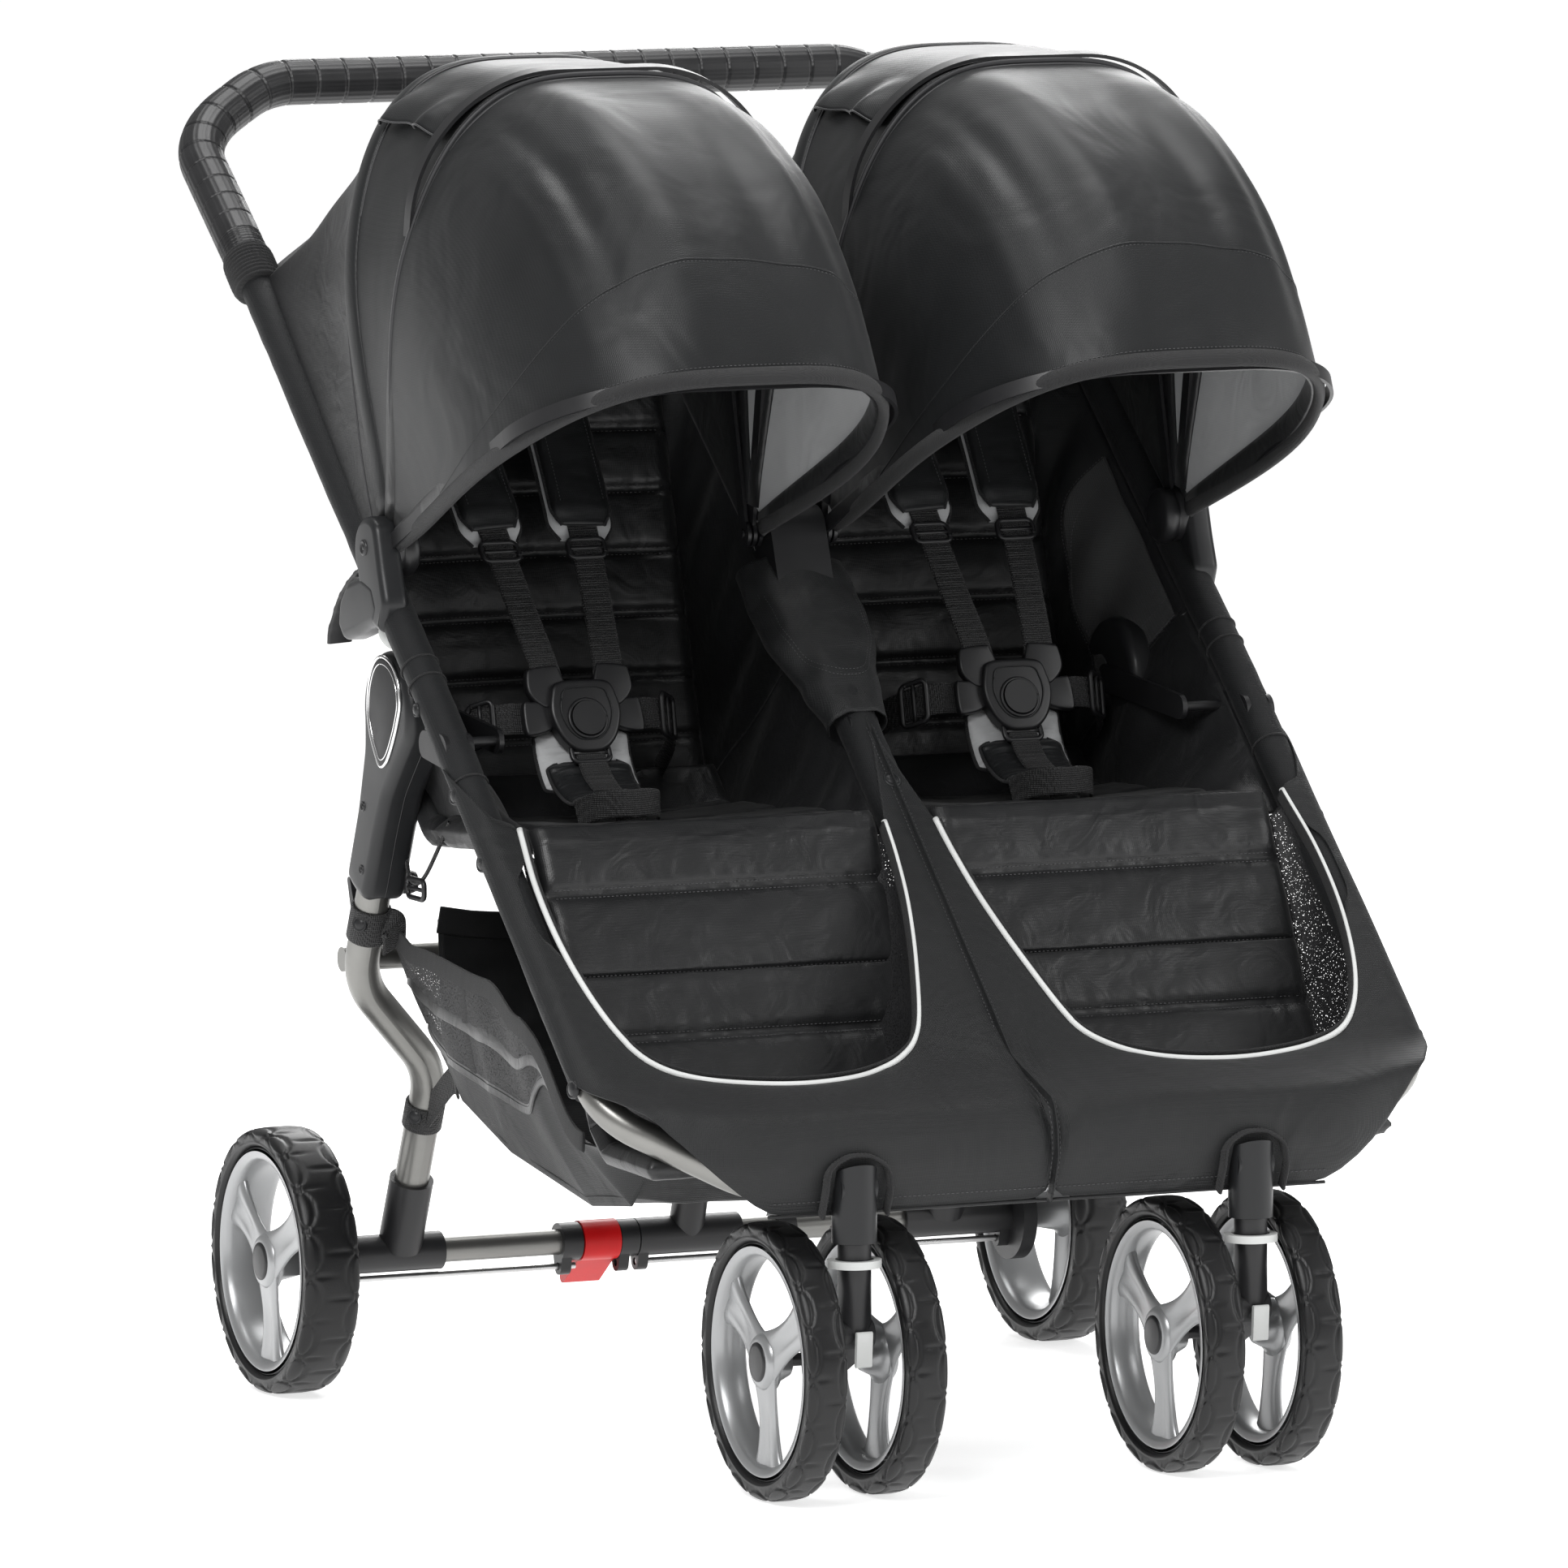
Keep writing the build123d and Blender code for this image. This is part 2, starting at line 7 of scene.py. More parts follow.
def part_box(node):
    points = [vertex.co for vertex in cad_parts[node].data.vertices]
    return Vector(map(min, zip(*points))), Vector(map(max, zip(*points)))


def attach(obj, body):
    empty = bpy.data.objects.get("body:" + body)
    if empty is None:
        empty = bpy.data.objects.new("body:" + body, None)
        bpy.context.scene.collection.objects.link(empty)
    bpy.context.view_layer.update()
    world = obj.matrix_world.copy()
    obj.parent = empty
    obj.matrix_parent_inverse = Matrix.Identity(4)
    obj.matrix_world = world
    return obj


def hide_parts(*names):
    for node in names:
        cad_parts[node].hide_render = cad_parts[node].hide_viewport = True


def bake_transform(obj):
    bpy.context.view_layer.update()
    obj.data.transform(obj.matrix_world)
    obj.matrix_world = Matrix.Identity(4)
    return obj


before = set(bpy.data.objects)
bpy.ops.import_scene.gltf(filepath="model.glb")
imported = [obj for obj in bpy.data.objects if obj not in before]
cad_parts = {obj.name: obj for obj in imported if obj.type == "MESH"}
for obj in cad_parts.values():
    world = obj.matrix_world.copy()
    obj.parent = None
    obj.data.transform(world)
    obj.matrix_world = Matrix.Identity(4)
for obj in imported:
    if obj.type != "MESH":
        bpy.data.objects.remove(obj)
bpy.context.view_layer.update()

# Everything below is drawn in millimetres about the CAD's own datum and moved by at().
axle_low, axle_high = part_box("rear_axle")
SHIFT = (axle_low[1] + axle_high[1]) / 2 - 0.294


def at(x, y, z):
    """A place in metres from millimetres."""
    return Vector((x / 1000, y / 1000 + SHIFT, z / 1000))


def polar(y, z, angle, reach):
    """Y and Z at an angle from +Y towards +Z."""
    turn = math.radians(angle)
    return y + reach * math.cos(turn), z + reach * math.sin(turn)


FOLD = (-55.0, 560.0)            # the fold hinge's y and z
UPPER_SLOPE = 39.6               # degrees of the tubes above the fold
FRONT_SLOPE = 41.2               # degrees of the tubes below it
CANOPY = (50.0, 704.0)           # the canopy hinges' y and z
CANOPY_X = 188.0                 # the middle of a seat and its canopy
TUBE_X = 346.0                   # the side tubes
CASTER_X, CASTER_Y = 168, -393
REAR_WHEEL_X, REAR_WHEEL_Y = 340, 294
BOOT_NORMAL = (0, -0.6588, 0.7524)
SIDES = (("left", -1), ("right", 1))


def upper(along, out=20.0):
    """Y and Z by the tubes above the fold: how far up them, and how far out from the hinge line."""
    y, z = polar(*FOLD, UPPER_SLOPE, along)
    return polar(y, z, UPPER_SLOPE + 90, out)


def front(along, out=20.0):
    """Y and Z by the tubes below the fold: how far down them, and how far out from the hinge line."""
    y, z = polar(*FOLD, FRONT_SLOPE + 180, along)
    return polar(y, z, FRONT_SLOPE + 90, out)


def mix(a, b, t):
    return a + (b - a) * t


def smooth(t):
    t = max(0.0, min(1.0, t))
    return t * t * (3 - 2 * t)


def bump_at(t, middle, width):
    """A soft hill of height 1 at a place, falling to 0 over a width."""
    return math.exp(-((t - middle) / width) ** 2)


def lookup(table, t):
    """Reads a smooth curve through (t, value, ...) rows."""
    if t <= table[0][0]:
        return table[0][1:]
    for low, high in zip(table, table[1:]):
        if t <= high[0]:
            part = smooth((t - low[0]) / (high[0] - low[0]))
            return tuple(mix(a, b, part) for a, b in zip(low[1:], high[1:]))
    return table[-1][1:]


def curve_through(points, count):
    """Resamples a Catmull-Rom curve through some points at even steps."""
    points = [Vector(p) for p in points]
    dense = []
    for i in range(len(points) - 1):
        p1, p2 = points[i], points[i + 1]
        p0 = points[i - 1] if i else p1 * 2 - p2
        p3 = points[i + 2] if i + 2 < len(points) else p2 * 2 - p1
        for step in range(24):
            t = step / 24
            dense.append(0.5 * ((2 * p1) + (p2 - p0) * t + (2 * p0 - 5 * p1 + 4 * p2 - p3) * t * t
                                + (3 * p1 - p0 - 3 * p2 + p3) * t ** 3))
    dense.append(points[-1])
    return even(dense, count)


def even(dense, count):
    """Spaces points evenly along a dense line."""
    lengths = [0.0]
    for a, b in zip(dense, dense[1:]):
        lengths.append(lengths[-1] + (b - a).length)
    out, j = [], 0
    for i in range(count):
        want = lengths[-1] * i / (count - 1)
        while j < len(lengths) - 2 and lengths[j + 1] < want:
            j += 1
        span = lengths[j + 1] - lengths[j] or 1e-9
        out.append(dense[j].lerp(dense[j + 1], (want - lengths[j]) / span))
    return out


def length_of(path):
    return sum((b - a).length for a, b in zip(path, path[1:]))


def rounded(points, radii, count):
    """A path of straight runs joined by arcs, as the CAD tubes have."""
    points = [Vector(p) for p in points]
    dense = [points[0]]
    for i in range(1, len(points) - 1):
        p, radius = points[i], radii[i - 1]
        a, b = (points[i - 1] - p).normalized(), (points[i + 1] - p).normalized()
        half = a.angle(b) / 2
        cut = radius / math.tan(half)
        centre = p + (a + b).normalized() * (radius / math.sin(half))
        start, end = p + a * cut - centre, p + b * cut - centre
        swing = start.angle(end)
        across = (end - start * math.cos(swing)) / math.sin(swing)
        for step in range(13):
            angle = swing * step / 12
            dense.append(centre + start * math.cos(angle) + across * math.sin(angle))
    dense.append(points[-1])
    return even(dense, count)


# ---------------------------------------------------------------- materials
def node_tree(name):
    material = bpy.data.materials.new(name)
    material.use_nodes = True
    nodes, links = material.node_tree.nodes, material.node_tree.links
    return material, nodes, links, nodes["Principled BSDF"]


def put(nodes, kind, **values):
    node = nodes.new(kind)
    for key, value in values.items():
        if key in node.inputs:
            node.inputs[key].default_value = value
        else:
            setattr(node, key, value)
    return node


def surface(name, colour, rough, spread=0.15, mottle=18.0, grain=900.0, grain_depth=0.00005,
            fold_scale=0.0, fold_depth=0.0, metallic=0.0, sheen=0.0, coat=0.0, specular=0.5,
            weave=0.0, weave_depth=0.00008, stretch=(1, 1, 1), rough_spread=0.1):
    """A procedural surface: mottled colour, uneven roughness, and bump from grain, weave and soft folds."""
    material, nodes, links, shader = node_tree(name)
    place = put(nodes, "ShaderNodeTexCoord").outputs["Object"]
    mapping = put(nodes, "ShaderNodeMapping")
    mapping.inputs["Scale"].default_value = stretch
    links.new(place, mapping.inputs["Vector"])
    cloud = put(nodes, "ShaderNodeTexNoise", Scale=mottle, Detail=5.0)
    links.new(mapping.outputs[0], cloud.inputs["Vector"])
    ramp = put(nodes, "ShaderNodeValToRGB")
    low = [c * (1 - spread) for c in colour]
    high = [min(1.0, c * (1 + spread)) for c in colour]
    ramp.color_ramp.elements[0].position = 0.3
    ramp.color_ramp.elements[1].position = 0.7
    ramp.color_ramp.elements[0].color = (*low, 1)
    ramp.color_ramp.elements[1].color = (*high, 1)
    links.new(cloud.outputs["Fac"], ramp.inputs["Fac"])
    links.new(ramp.outputs["Color"], shader.inputs["Base Color"])
    span = put(nodes, "ShaderNodeMapRange")
    span.inputs["To Min"].default_value = max(0.02, rough - rough_spread)
    span.inputs["To Max"].default_value = min(1.0, rough + rough_spread)
    links.new(cloud.outputs["Fac"], span.inputs["Value"])
    links.new(span.outputs["Result"], shader.inputs["Roughness"])
    normal = None
    if fold_scale:
        folds = put(nodes, "ShaderNodeTexNoise", Scale=fold_scale, Detail=2.0, Distortion=1.2)
        links.new(mapping.outputs[0], folds.inputs["Vector"])
        normal = add_bump(nodes, links, folds.outputs["Fac"], fold_depth, normal)
    if weave:
        for direction in ("X", "Z", "Y"):
            bands = put(nodes, "ShaderNodeTexWave", Scale=weave, Distortion=0.4)
            bands.bands_direction = direction
            links.new(place, bands.inputs["Vector"])
            normal = add_bump(nodes, links, bands.outputs["Fac"], weave_depth, normal)
    fine = put(nodes, "ShaderNodeTexNoise", Scale=grain, Detail=3.0)
    links.new(mapping.outputs[0], fine.inputs["Vector"])
    normal = add_bump(nodes, links, fine.outputs["Fac"], grain_depth, normal)
    links.new(normal, shader.inputs["Normal"])
    shader.inputs["Metallic"].default_value = metallic
    shader.inputs["Specular IOR Level"].default_value = specular
    shader.inputs["Sheen Weight"].default_value = sheen
    shader.inputs["Sheen Roughness"].default_value = 0.4
    shader.inputs["Coat Weight"].default_value = coat
    shader.inputs["Coat Roughness"].default_value = 0.2
    return material


def add_bump(nodes, links, height, depth, normal):
    bump = put(nodes, "ShaderNodeBump", Strength=1.0, Distance=depth)
    links.new(height, bump.inputs["Height"])
    if normal:
        links.new(normal, bump.inputs["Normal"])
    return bump.outputs["Normal"]


def mesh_cloth(name, colour, hole=330.0, open_share=0.5):
    """Net fabric: round holes in a fine grid, cut with transparency."""
    material, nodes, links, shader = node_tree(name)
    place = put(nodes, "ShaderNodeTexCoord").outputs["Object"]
    cells = put(nodes, "ShaderNodeTexVoronoi", Scale=hole, Randomness=1.0)
    links.new(place, cells.inputs["Vector"])
    shader.inputs["Base Color"].default_value = (*colour, 1)
    shader.inputs["Roughness"].default_value = 0.6
    compare = put(nodes, "ShaderNodeMath", operation="GREATER_THAN")
    compare.inputs[1].default_value = open_share
    links.new(cells.outputs["Distance"], compare.inputs[0])
    links.new(compare.outputs[0], shader.inputs["Alpha"])
    add = add_bump(nodes, links, cells.outputs["Distance"], 0.0003, None)
    links.new(add, shader.inputs["Normal"])
    return material


SATIN = surface("satin_black", (0.0092, 0.0098, 0.0105), 0.45, spread=0.12, mottle=7, weave=260,
                weave_depth=0.00003,
                fold_scale=9, fold_depth=0.003, sheen=0.05, grain=1500, specular=0.34)
SEAT_CLOTH = surface("seat_black", (0.0105, 0.0108, 0.0115), 0.40, spread=0.15, mottle=9, weave=260,
                     weave_depth=0.00003, fold_scale=30, fold_depth=0.0016, sheen=0.07, grain=1500,
                     specular=0.5)
SLEEVE = surface("sleeve_black", (0.0105, 0.011, 0.0118), 0.6, spread=0.15, mottle=12, weave=300,
                 fold_scale=30, fold_depth=0.0012, sheen=0.04, grain=1500, specular=0.24)
BINDING = surface("binding", (0.008, 0.008, 0.009), 0.7, weave=520, weave_depth=0.0002, sheen=0.08, mottle=40)
WEBBING = surface("webbing", (0.0085, 0.0085, 0.009), 0.6, weave=190, weave_depth=0.0003, sheen=0.1,
                  mottle=60)
THREAD = surface("thread", (0.075, 0.075, 0.078), 0.7, grain=2500, grain_depth=0.0001)
PIPING = surface("piping_white", (0.72, 0.73, 0.72), 0.55, spread=0.05, grain=2500)
PIPING_BLACK = surface("piping_black", (0.02, 0.02, 0.022), 0.5, spread=0.1, grain=2500, sheen=0.3)
LINING = surface("lining_grey", (0.42, 0.425, 0.43), 0.6, spread=0.12, mottle=9, fold_scale=14,
                 fold_depth=0.004,
                 weave=260, weave_depth=0.00003, sheen=0.2)
PLASTIC = surface("plastic_black", (0.0095, 0.0095, 0.0105), 0.4, spread=0.1, mottle=30, grain=2200,
                  grain_depth=0.00004)
COVER_PLASTIC = surface("cover_plastic", (0.014, 0.0145, 0.0155), 0.36, spread=0.08, mottle=16, grain=2400,
                        grain_depth=0.00003, coat=0.04, specular=0.32)
LIGHT_PLASTIC = surface("plastic_grey", (0.55, 0.56, 0.55), 0.4, spread=0.06, mottle=20, grain=1800)
RED = surface("pedal_red", (0.52, 0.006, 0.007), 0.36, spread=0.1, mottle=30, grain=1500, coat=0.06,
              specular=0.25)
ALUMINIUM = surface("anodised", (0.235, 0.233, 0.222), 0.34, spread=0.06, mottle=40, grain=700, metallic=0.9,
                    stretch=(0.4, 1, 1), grain_depth=0.00004, rough_spread=0.06)
STEEL = surface("steel", (0.55, 0.55, 0.55), 0.28, spread=0.08, metallic=1.0, grain=900)
CHROME = surface("chrome_trim", (0.8, 0.8, 0.8), 0.15, spread=0.04, metallic=1.0, rough_spread=0.04)
RIM = surface("rim_silver", (0.34, 0.345, 0.35), 0.33, spread=0.05, mottle=14, metallic=0.6, grain=1800,
              grain_depth=0.00003, coat=0.25)
TYRE = surface("tyre_black", (0.007, 0.007, 0.0075), 0.38, spread=0.2, mottle=26, grain=1300, specular=0.36,
               grain_depth=0.00012)
GRIP = surface("grip_black", (0.012, 0.012, 0.013), 0.4, spread=0.15, mottle=40, grain=1500,
               grain_depth=0.00008)
BOOT = surface("boot_black", (0.0095, 0.0100, 0.0106), 0.54, spread=0.1, mottle=8, weave=240,
               weave_depth=0.0001,
               fold_scale=13, fold_depth=0.005, sheen=0.05, grain=1500, specular=0.35)
PATCH = surface("patch_black", (0.045, 0.0455, 0.046), 0.6, spread=0.1, mottle=10, weave=240,
                weave_depth=0.0001,
                fold_scale=13, fold_depth=0.003, sheen=0.08, grain=1500)
MESH = mesh_cloth("net_black", (0.012, 0.012, 0.013), 640, 0.33)
RUBBER = surface("rubber_black", (0.02, 0.02, 0.021), 0.5, spread=0.1, grain=1500)
BADGE = surface("badge_blank", (0.008, 0.008, 0.009), 0.42, spread=0.05, mottle=30, specular=0.3)


# ---------------------------------------------------------------- mesh tools
def build(name, verts, faces, material, body, extra=()):
    """A smooth mesh object that rides on a body, if one is given."""
    mesh = bpy.data.meshes.new(name)
    mesh.from_pydata([tuple(v) for v in verts], [], faces)
    mesh.validate()
    mesh.update()
    obj = bpy.data.objects.new(name, mesh)
    bpy.context.collection.objects.link(obj)
    mesh.materials.append(material)
    for other in extra:
        mesh.materials.append(other)
    mesh.polygons.foreach_set("use_smooth", [True] * len(mesh.polygons))
    if body:
        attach(obj, body)
    return obj


def grid_faces(rows, columns, wrap_rows=False, wrap_columns=False, start=0):
    faces = []
    for i in range(rows if wrap_rows else rows - 1):
        for j in range(columns if wrap_columns else columns - 1):
            a = start + i * columns + j
            b = start + i * columns + (j + 1) % columns
            c = start + ((i + 1) % rows) * columns + (j + 1) % columns
            d = start + ((i + 1) % rows) * columns + j
            faces.append((a, b, c, d))
    return faces


def cloth_grid(name, place, rows, columns, material, body, thick=0.0012, inner=None, side=1.0):
    """A cloth surface given by place(u, v) in metres, with thickness and, if asked, a lining inside."""
    verts = [place(i / (rows - 1), j / (columns - 1)) for i in range(rows) for j in range(columns)]
    obj = build(name, verts, grid_faces(rows, columns), material, None, extra=[inner] if inner else ())
    thicken(obj, thick, side, 1 if inner else 0)
    if body:
        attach(obj, body)
    return obj


def thicken(obj, thick, side=1.0, inner=0):
    solid = obj.modifiers.new("thick", "SOLIDIFY")
    solid.thickness = thick
    solid.offset = side
    solid.material_offset = inner
    apply_all(obj)


def apply_all(obj):
    """Replaces the mesh by what its modifiers make of it."""
    depsgraph = bpy.context.evaluated_depsgraph_get()
    mesh = bpy.data.meshes.new_from_object(obj.evaluated_get(depsgraph))
    obj.modifiers.clear()
    obj.data = mesh
    mesh.polygons.foreach_set("use_smooth", [True] * len(mesh.polygons))


def frames_along(path, hint):
    """A tangent, a side and an up direction at each point, turning as little as the path allows."""
    out = []
    side = None
    for i, p in enumerate(path):
        ahead = path[min(i + 1, len(path) - 1)] - path[max(i - 1, 0)]
        ahead.normalize()
        if side is None:
            side = Vector(hint) - ahead * Vector(hint).dot(ahead)
        else:
            side = side - ahead * side.dot(ahead)
        side.normalize()
        out.append((p, ahead, side.copy(), ahead.cross(side)))
    return out


def sweep(name, path, section, material, body, hint=(0, 0, 1), scale=None, fixed=False, caps=True):
    """A section (pairs in metres) carried along a path, with an optional scale along it."""
    verts = []
    placed = frames_along(path, hint)
    for i, (p, ahead, side, up) in enumerate(placed):
        if fixed:
            side = (Vector(hint) - ahead * Vector(hint).dot(ahead)).normalized()
            up = ahead.cross(side)
        grow = scale(i / (len(path) - 1)) if scale else (1.0, 1.0)
        if not isinstance(grow, tuple):
            grow = (grow, grow)
        for a, b in section:
            verts.append(p + side * (a * grow[0]) + up * (b * grow[1]))
    faces = grid_faces(len(path), len(section), wrap_columns=True)
    if caps:
        faces.append(tuple(range(len(section)))[::-1])
        last = (len(path) - 1) * len(section)
        faces.append(tuple(range(last, last + len(section))))
    return build(name, verts, faces, material, body)


def ring_section(radius, count=20):
    return [(radius * math.cos(2 * math.pi * i / count), radius * math.sin(2 * math.pi * i / count))
            for i in range(count)]


def flat_section(width, thick):
    """A strap's section: a slim rounded rectangle, width along the side direction."""
    half, cap = width / 2, thick / 2
    out = []
    for centre, turn in ((half - cap, -90), (-half + cap, 90)):
        for step in range(5):
            angle = math.radians(turn + 45 * step)
            out.append((centre + cap * math.cos(angle), cap * math.sin(angle)))
    return out


def cord_tube(name, path, radius, material, body, count=10, hint=(0, 0, 1)):
    return sweep(name, path, ring_section(radius, count), material, body, hint=hint)


def lathe(name, profile, origin, material, body, steps=64):
    """A profile of (reach, along) in millimetres turned about X through a point."""
    verts = []
    for i in range(steps):
        a = 2 * math.pi * i / steps
        c, s = math.cos(a), math.sin(a)
        for reach, along in profile:
            verts.append(origin + Vector((along, reach * c, reach * s)) / 1000)
    return build(name, verts, grid_faces(steps, len(profile), wrap_rows=True), material, body)


def block(name, centre, size, material, body, turn, bevel):
    """A bevelled block, turned about X."""
    verts, faces = [], [(0, 1, 3, 2), (4, 6, 7, 5), (0, 4, 5, 1), (2, 3, 7, 6), (0, 2, 6, 4), (1, 5, 7, 3)]
    c, s = math.cos(math.radians(turn)), math.sin(math.radians(turn))
    for x in (-1, 1):
        for y in (-1, 1):
            for z in (-1, 1):
                px, py, pz = x * size[0] / 2, y * size[1] / 2, z * size[2] / 2
                verts.append(at(centre[0] + px, centre[1] + py * c - pz * s, centre[2] + py * s + pz * c))
    obj = build(name, verts, faces, material, None)
    mod = obj.modifiers.new("edge", "BEVEL")
    mod.width = bevel / 1000
    mod.segments = 3
    mod.limit_method = "NONE"
    apply_all(obj)
    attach(obj, body)
    return obj


def mirrored(points):
    return [(-x, y, z) for x, y, z in points]


def join(name, objects):
    """Joins meshes that share a body into one piece."""
    for obj in bpy.context.selected_objects:
        obj.select_set(False)
    for obj in objects:
        obj.select_set(True)
    bpy.context.view_layer.objects.active = objects[0]
    bpy.ops.object.join()
    objects[0].name = name
    return objects[0]


def stitches(name, path, body, pitch, long, radius):
    """A row of short threads along a path, with their pitch, length and radius in millimetres."""
    count = max(2, int(length_of(path) * 1000 / pitch))
    points = even(path, count * 2 + 1)
    verts, faces = [], []
    for i in range(count):
        a = points[2 * i]
        b = a.lerp(points[2 * i + 1], min(1.0, long / pitch + 0.35))
        ahead = (b - a).normalized() if (b - a).length else Vector((1, 0, 0))
        side = ahead.cross(Vector((0.3, 0.5, 0.8))).normalized()
        up = ahead.cross(side)
        start = len(verts)
        for p in (a, b):
            for k in range(4):
                t = math.pi / 2 * k
                verts.append(p + (side * math.cos(t) + up * math.sin(t)) * radius / 1000)
        faces += grid_faces(2, 4, wrap_columns=True, start=start)
    return build(name, verts, faces, THREAD, body)


def wrinkle(p, scale, depth):
    """A small repeatable offset from smooth noise, in metres."""
    return noise.noise(p * scale) * depth


# ---------------------------------------------------------------- wheels
WHEEL_R = 108.0
RIM_R = 91.6
REAR_TYRE_WIDTH = 48
CASTER_TYRE_WIDTH = 33
TWIN_STEP = 41.8


def tyre(name, x, y, width, body, node):
    """A foam tyre with a row of scallops over each shoulder and small lugs along its crown."""
    around, across = 432, 60
    origin = at(x, y, WHEEL_R)
    verts = []
    half = width / 2
    for i in range(around):
        angle = 2 * math.pi * i / around
        for j in range(across):
            a = 2 * math.pi * j / across
            c, s = math.cos(a), math.sin(a)
            edge = math.copysign(abs(c) ** 0.55, c) * half
            rise = math.copysign(abs(s) ** 0.66, s) * (WHEEL_R - RIM_R) / 2
            if s > -0.25:
                # How far round the shoulder: 0 at the crown, 1 halfway down the wall.
                round_it = math.degrees(math.atan2(abs(c), s)) / 90
                deep = tread(angle, round_it, 1 if c > 0 else 0)
                edge -= deep * c
                rise -= deep * max(0.0, s)
            reach = (WHEEL_R + RIM_R) / 2 + rise
            verts.append(origin + Vector((edge, reach * math.cos(angle), reach * math.sin(angle))) / 1000)
    obj = build(name, verts, grid_faces(around, across, True, True), TYRE, body)
    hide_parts(node)
    return obj


def tread(angle, place, half_step):
    """Depth of the tread, in millimetres: rounded blocks outlined by grooves, with studs between them."""
    waves = 18
    part = (angle * waves / (2 * math.pi) + 0.5 * half_step) % 1.0 - 0.5
    reach_in = math.sqrt(max(0.0, 1 - (part / 0.42) ** 2)) if abs(part) < 0.42 else 0.0
    far, near = 0.50 + 0.52 * reach_in, 0.50 - 0.30 * reach_in
    outline = bump_at(place, far, 0.05) + (bump_at(place, near, 0.05) if reach_in else 0.0)
    stud = bump_at(abs(part), 0.5, 0.045) * bump_at(place, 0.86, 0.09)
    middle = bump_at(abs(part), 0.5, 0.05) * smooth((0.34 - place) / 0.1)
    sunk = 0.8 * smooth((place - far) * 12)
    return 1.7 * min(1.0, outline) + sunk - 1.0 * stud + 1.2 * middle


def rim(name, x, y, width, outer, body, node=None):
    """A silver rim with three flared spokes dished towards its outer side, and a dark hub cap."""
    origin = at(x, y, WHEEL_R)
    half = width / 2 - 3.5
    ring = [(RIM_R - 0.3, -half), (RIM_R + 0.4, -half + 1), (RIM_R + 0.4, half - 1), (RIM_R - 0.3, half),
            (RIM_R - 2.5, half + 0.9), (RIM_R - 7.5, half + 0.2), (RIM_R - 9.3, half - 2.2),
            (RIM_R - 10.8, half - 7),
            (RIM_R - 11.6, 0), (RIM_R - 10.8, -half + 7), (RIM_R - 9.3, -half + 2.2),
            (RIM_R - 7.5, -half - 0.2),
            (RIM_R - 2.5, -half - 0.9)]
    parts = [lathe(name, ring, origin, RIM, None, steps=96)]
    steps, count = 30, 24
    for turn in range(3):
        spoke_angle = math.radians(-90 + 120 * turn)
        verts = []
        for i in range(steps):
            t = i / (steps - 1)
            reach = mix(10, RIM_R - 8.5, t)
            spread = 9.0 + 12.0 * (1 - t) ** 2 + 15 * t ** 2.4
            depth = outer * (half - 5.0 - 1.5 * math.sin(math.pi * t) - 4.0 * t)
            thick = 3.6 + 2.4 * t ** 2
            for k in range(count):
                a = 2 * math.pi * k / count
                share = math.copysign(abs(math.cos(a)) ** 0.7, math.cos(a))
                side = spread * share
                up = thick * math.sin(a)
                front_face = math.sin(a) * outer > 0
                # Two raised ribs with a shallow trough between them, spreading apart like a Y.
                trough = 3.2 * math.exp(-(share / 0.5) ** 2) * smooth(t * 1.6) if front_face else 0.0
                drawn_in = side * smooth((t - 0.7) / 0.3)
                curl = math.sqrt(max(1.0, reach ** 2 - drawn_in ** 2)) if t >= 0.7 else reach
                direction = Vector((0, math.cos(spoke_angle), math.sin(spoke_angle)))
                lateral = Vector((0, -math.sin(spoke_angle), math.cos(spoke_angle)))
                p = direction * curl + lateral * side + Vector((depth + up - outer * trough, 0, 0))
                verts.append(origin + p / 1000)
        faces = grid_faces(steps, count, wrap_columns=True)
        faces.append(tuple(range(count))[::-1])
        faces.append(tuple(range((steps - 1) * count, steps * count)))
        parts.append(build(name + "_spoke", verts, faces, RIM, None))
    hub = [(0.1, half + 0.8), (17, half + 0.8), (20, half - 0.4), (22.5, half - 4), (23, half - 10),
           (17, half - 14),
           (12, -half + 2), (0.1, -half + 2)]
    parts.append(lathe(name + "_hub", [(r, outer * a) for r, a in hub], origin, RIM, None, steps=48))
    whole = join(name, parts)
    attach(whole, body)
    if node:
        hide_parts(node)
    cap = [(0.1, half + 2.6), (12, half + 2.4), (15.2, half + 1.6), (15.9, half - 2), (0.1, half - 2)]
    lathe(name + "_cap", [(r, outer * a) for r, a in cap], origin, PLASTIC, body, steps=40)


for label, side in SIDES:
    place = (side * REAR_WHEEL_X, REAR_WHEEL_Y, REAR_TYRE_WIDTH)
    tyre(f"rear_tyre_{label}_tread", *place, f"rear_wheel_{label}", f"rear_tyre_{label}")
    rim(f"rear_rim_{label}_cast", *place, side, f"rear_wheel_{label}", f"rear_rim_{label}")
    for twin, step in SIDES:
        body = f"caster_wheel_{label}_{twin}_body"
        node = f"caster_wheel_{label}_{twin}"
        place = (side * CASTER_X + step * TWIN_STEP, CASTER_Y, CASTER_TYRE_WIDTH)
        tyre(f"caster_tyre_{label}_{twin}", *place, body, node)
        rim(f"caster_rim_{label}_{twin}", *place, step, body)

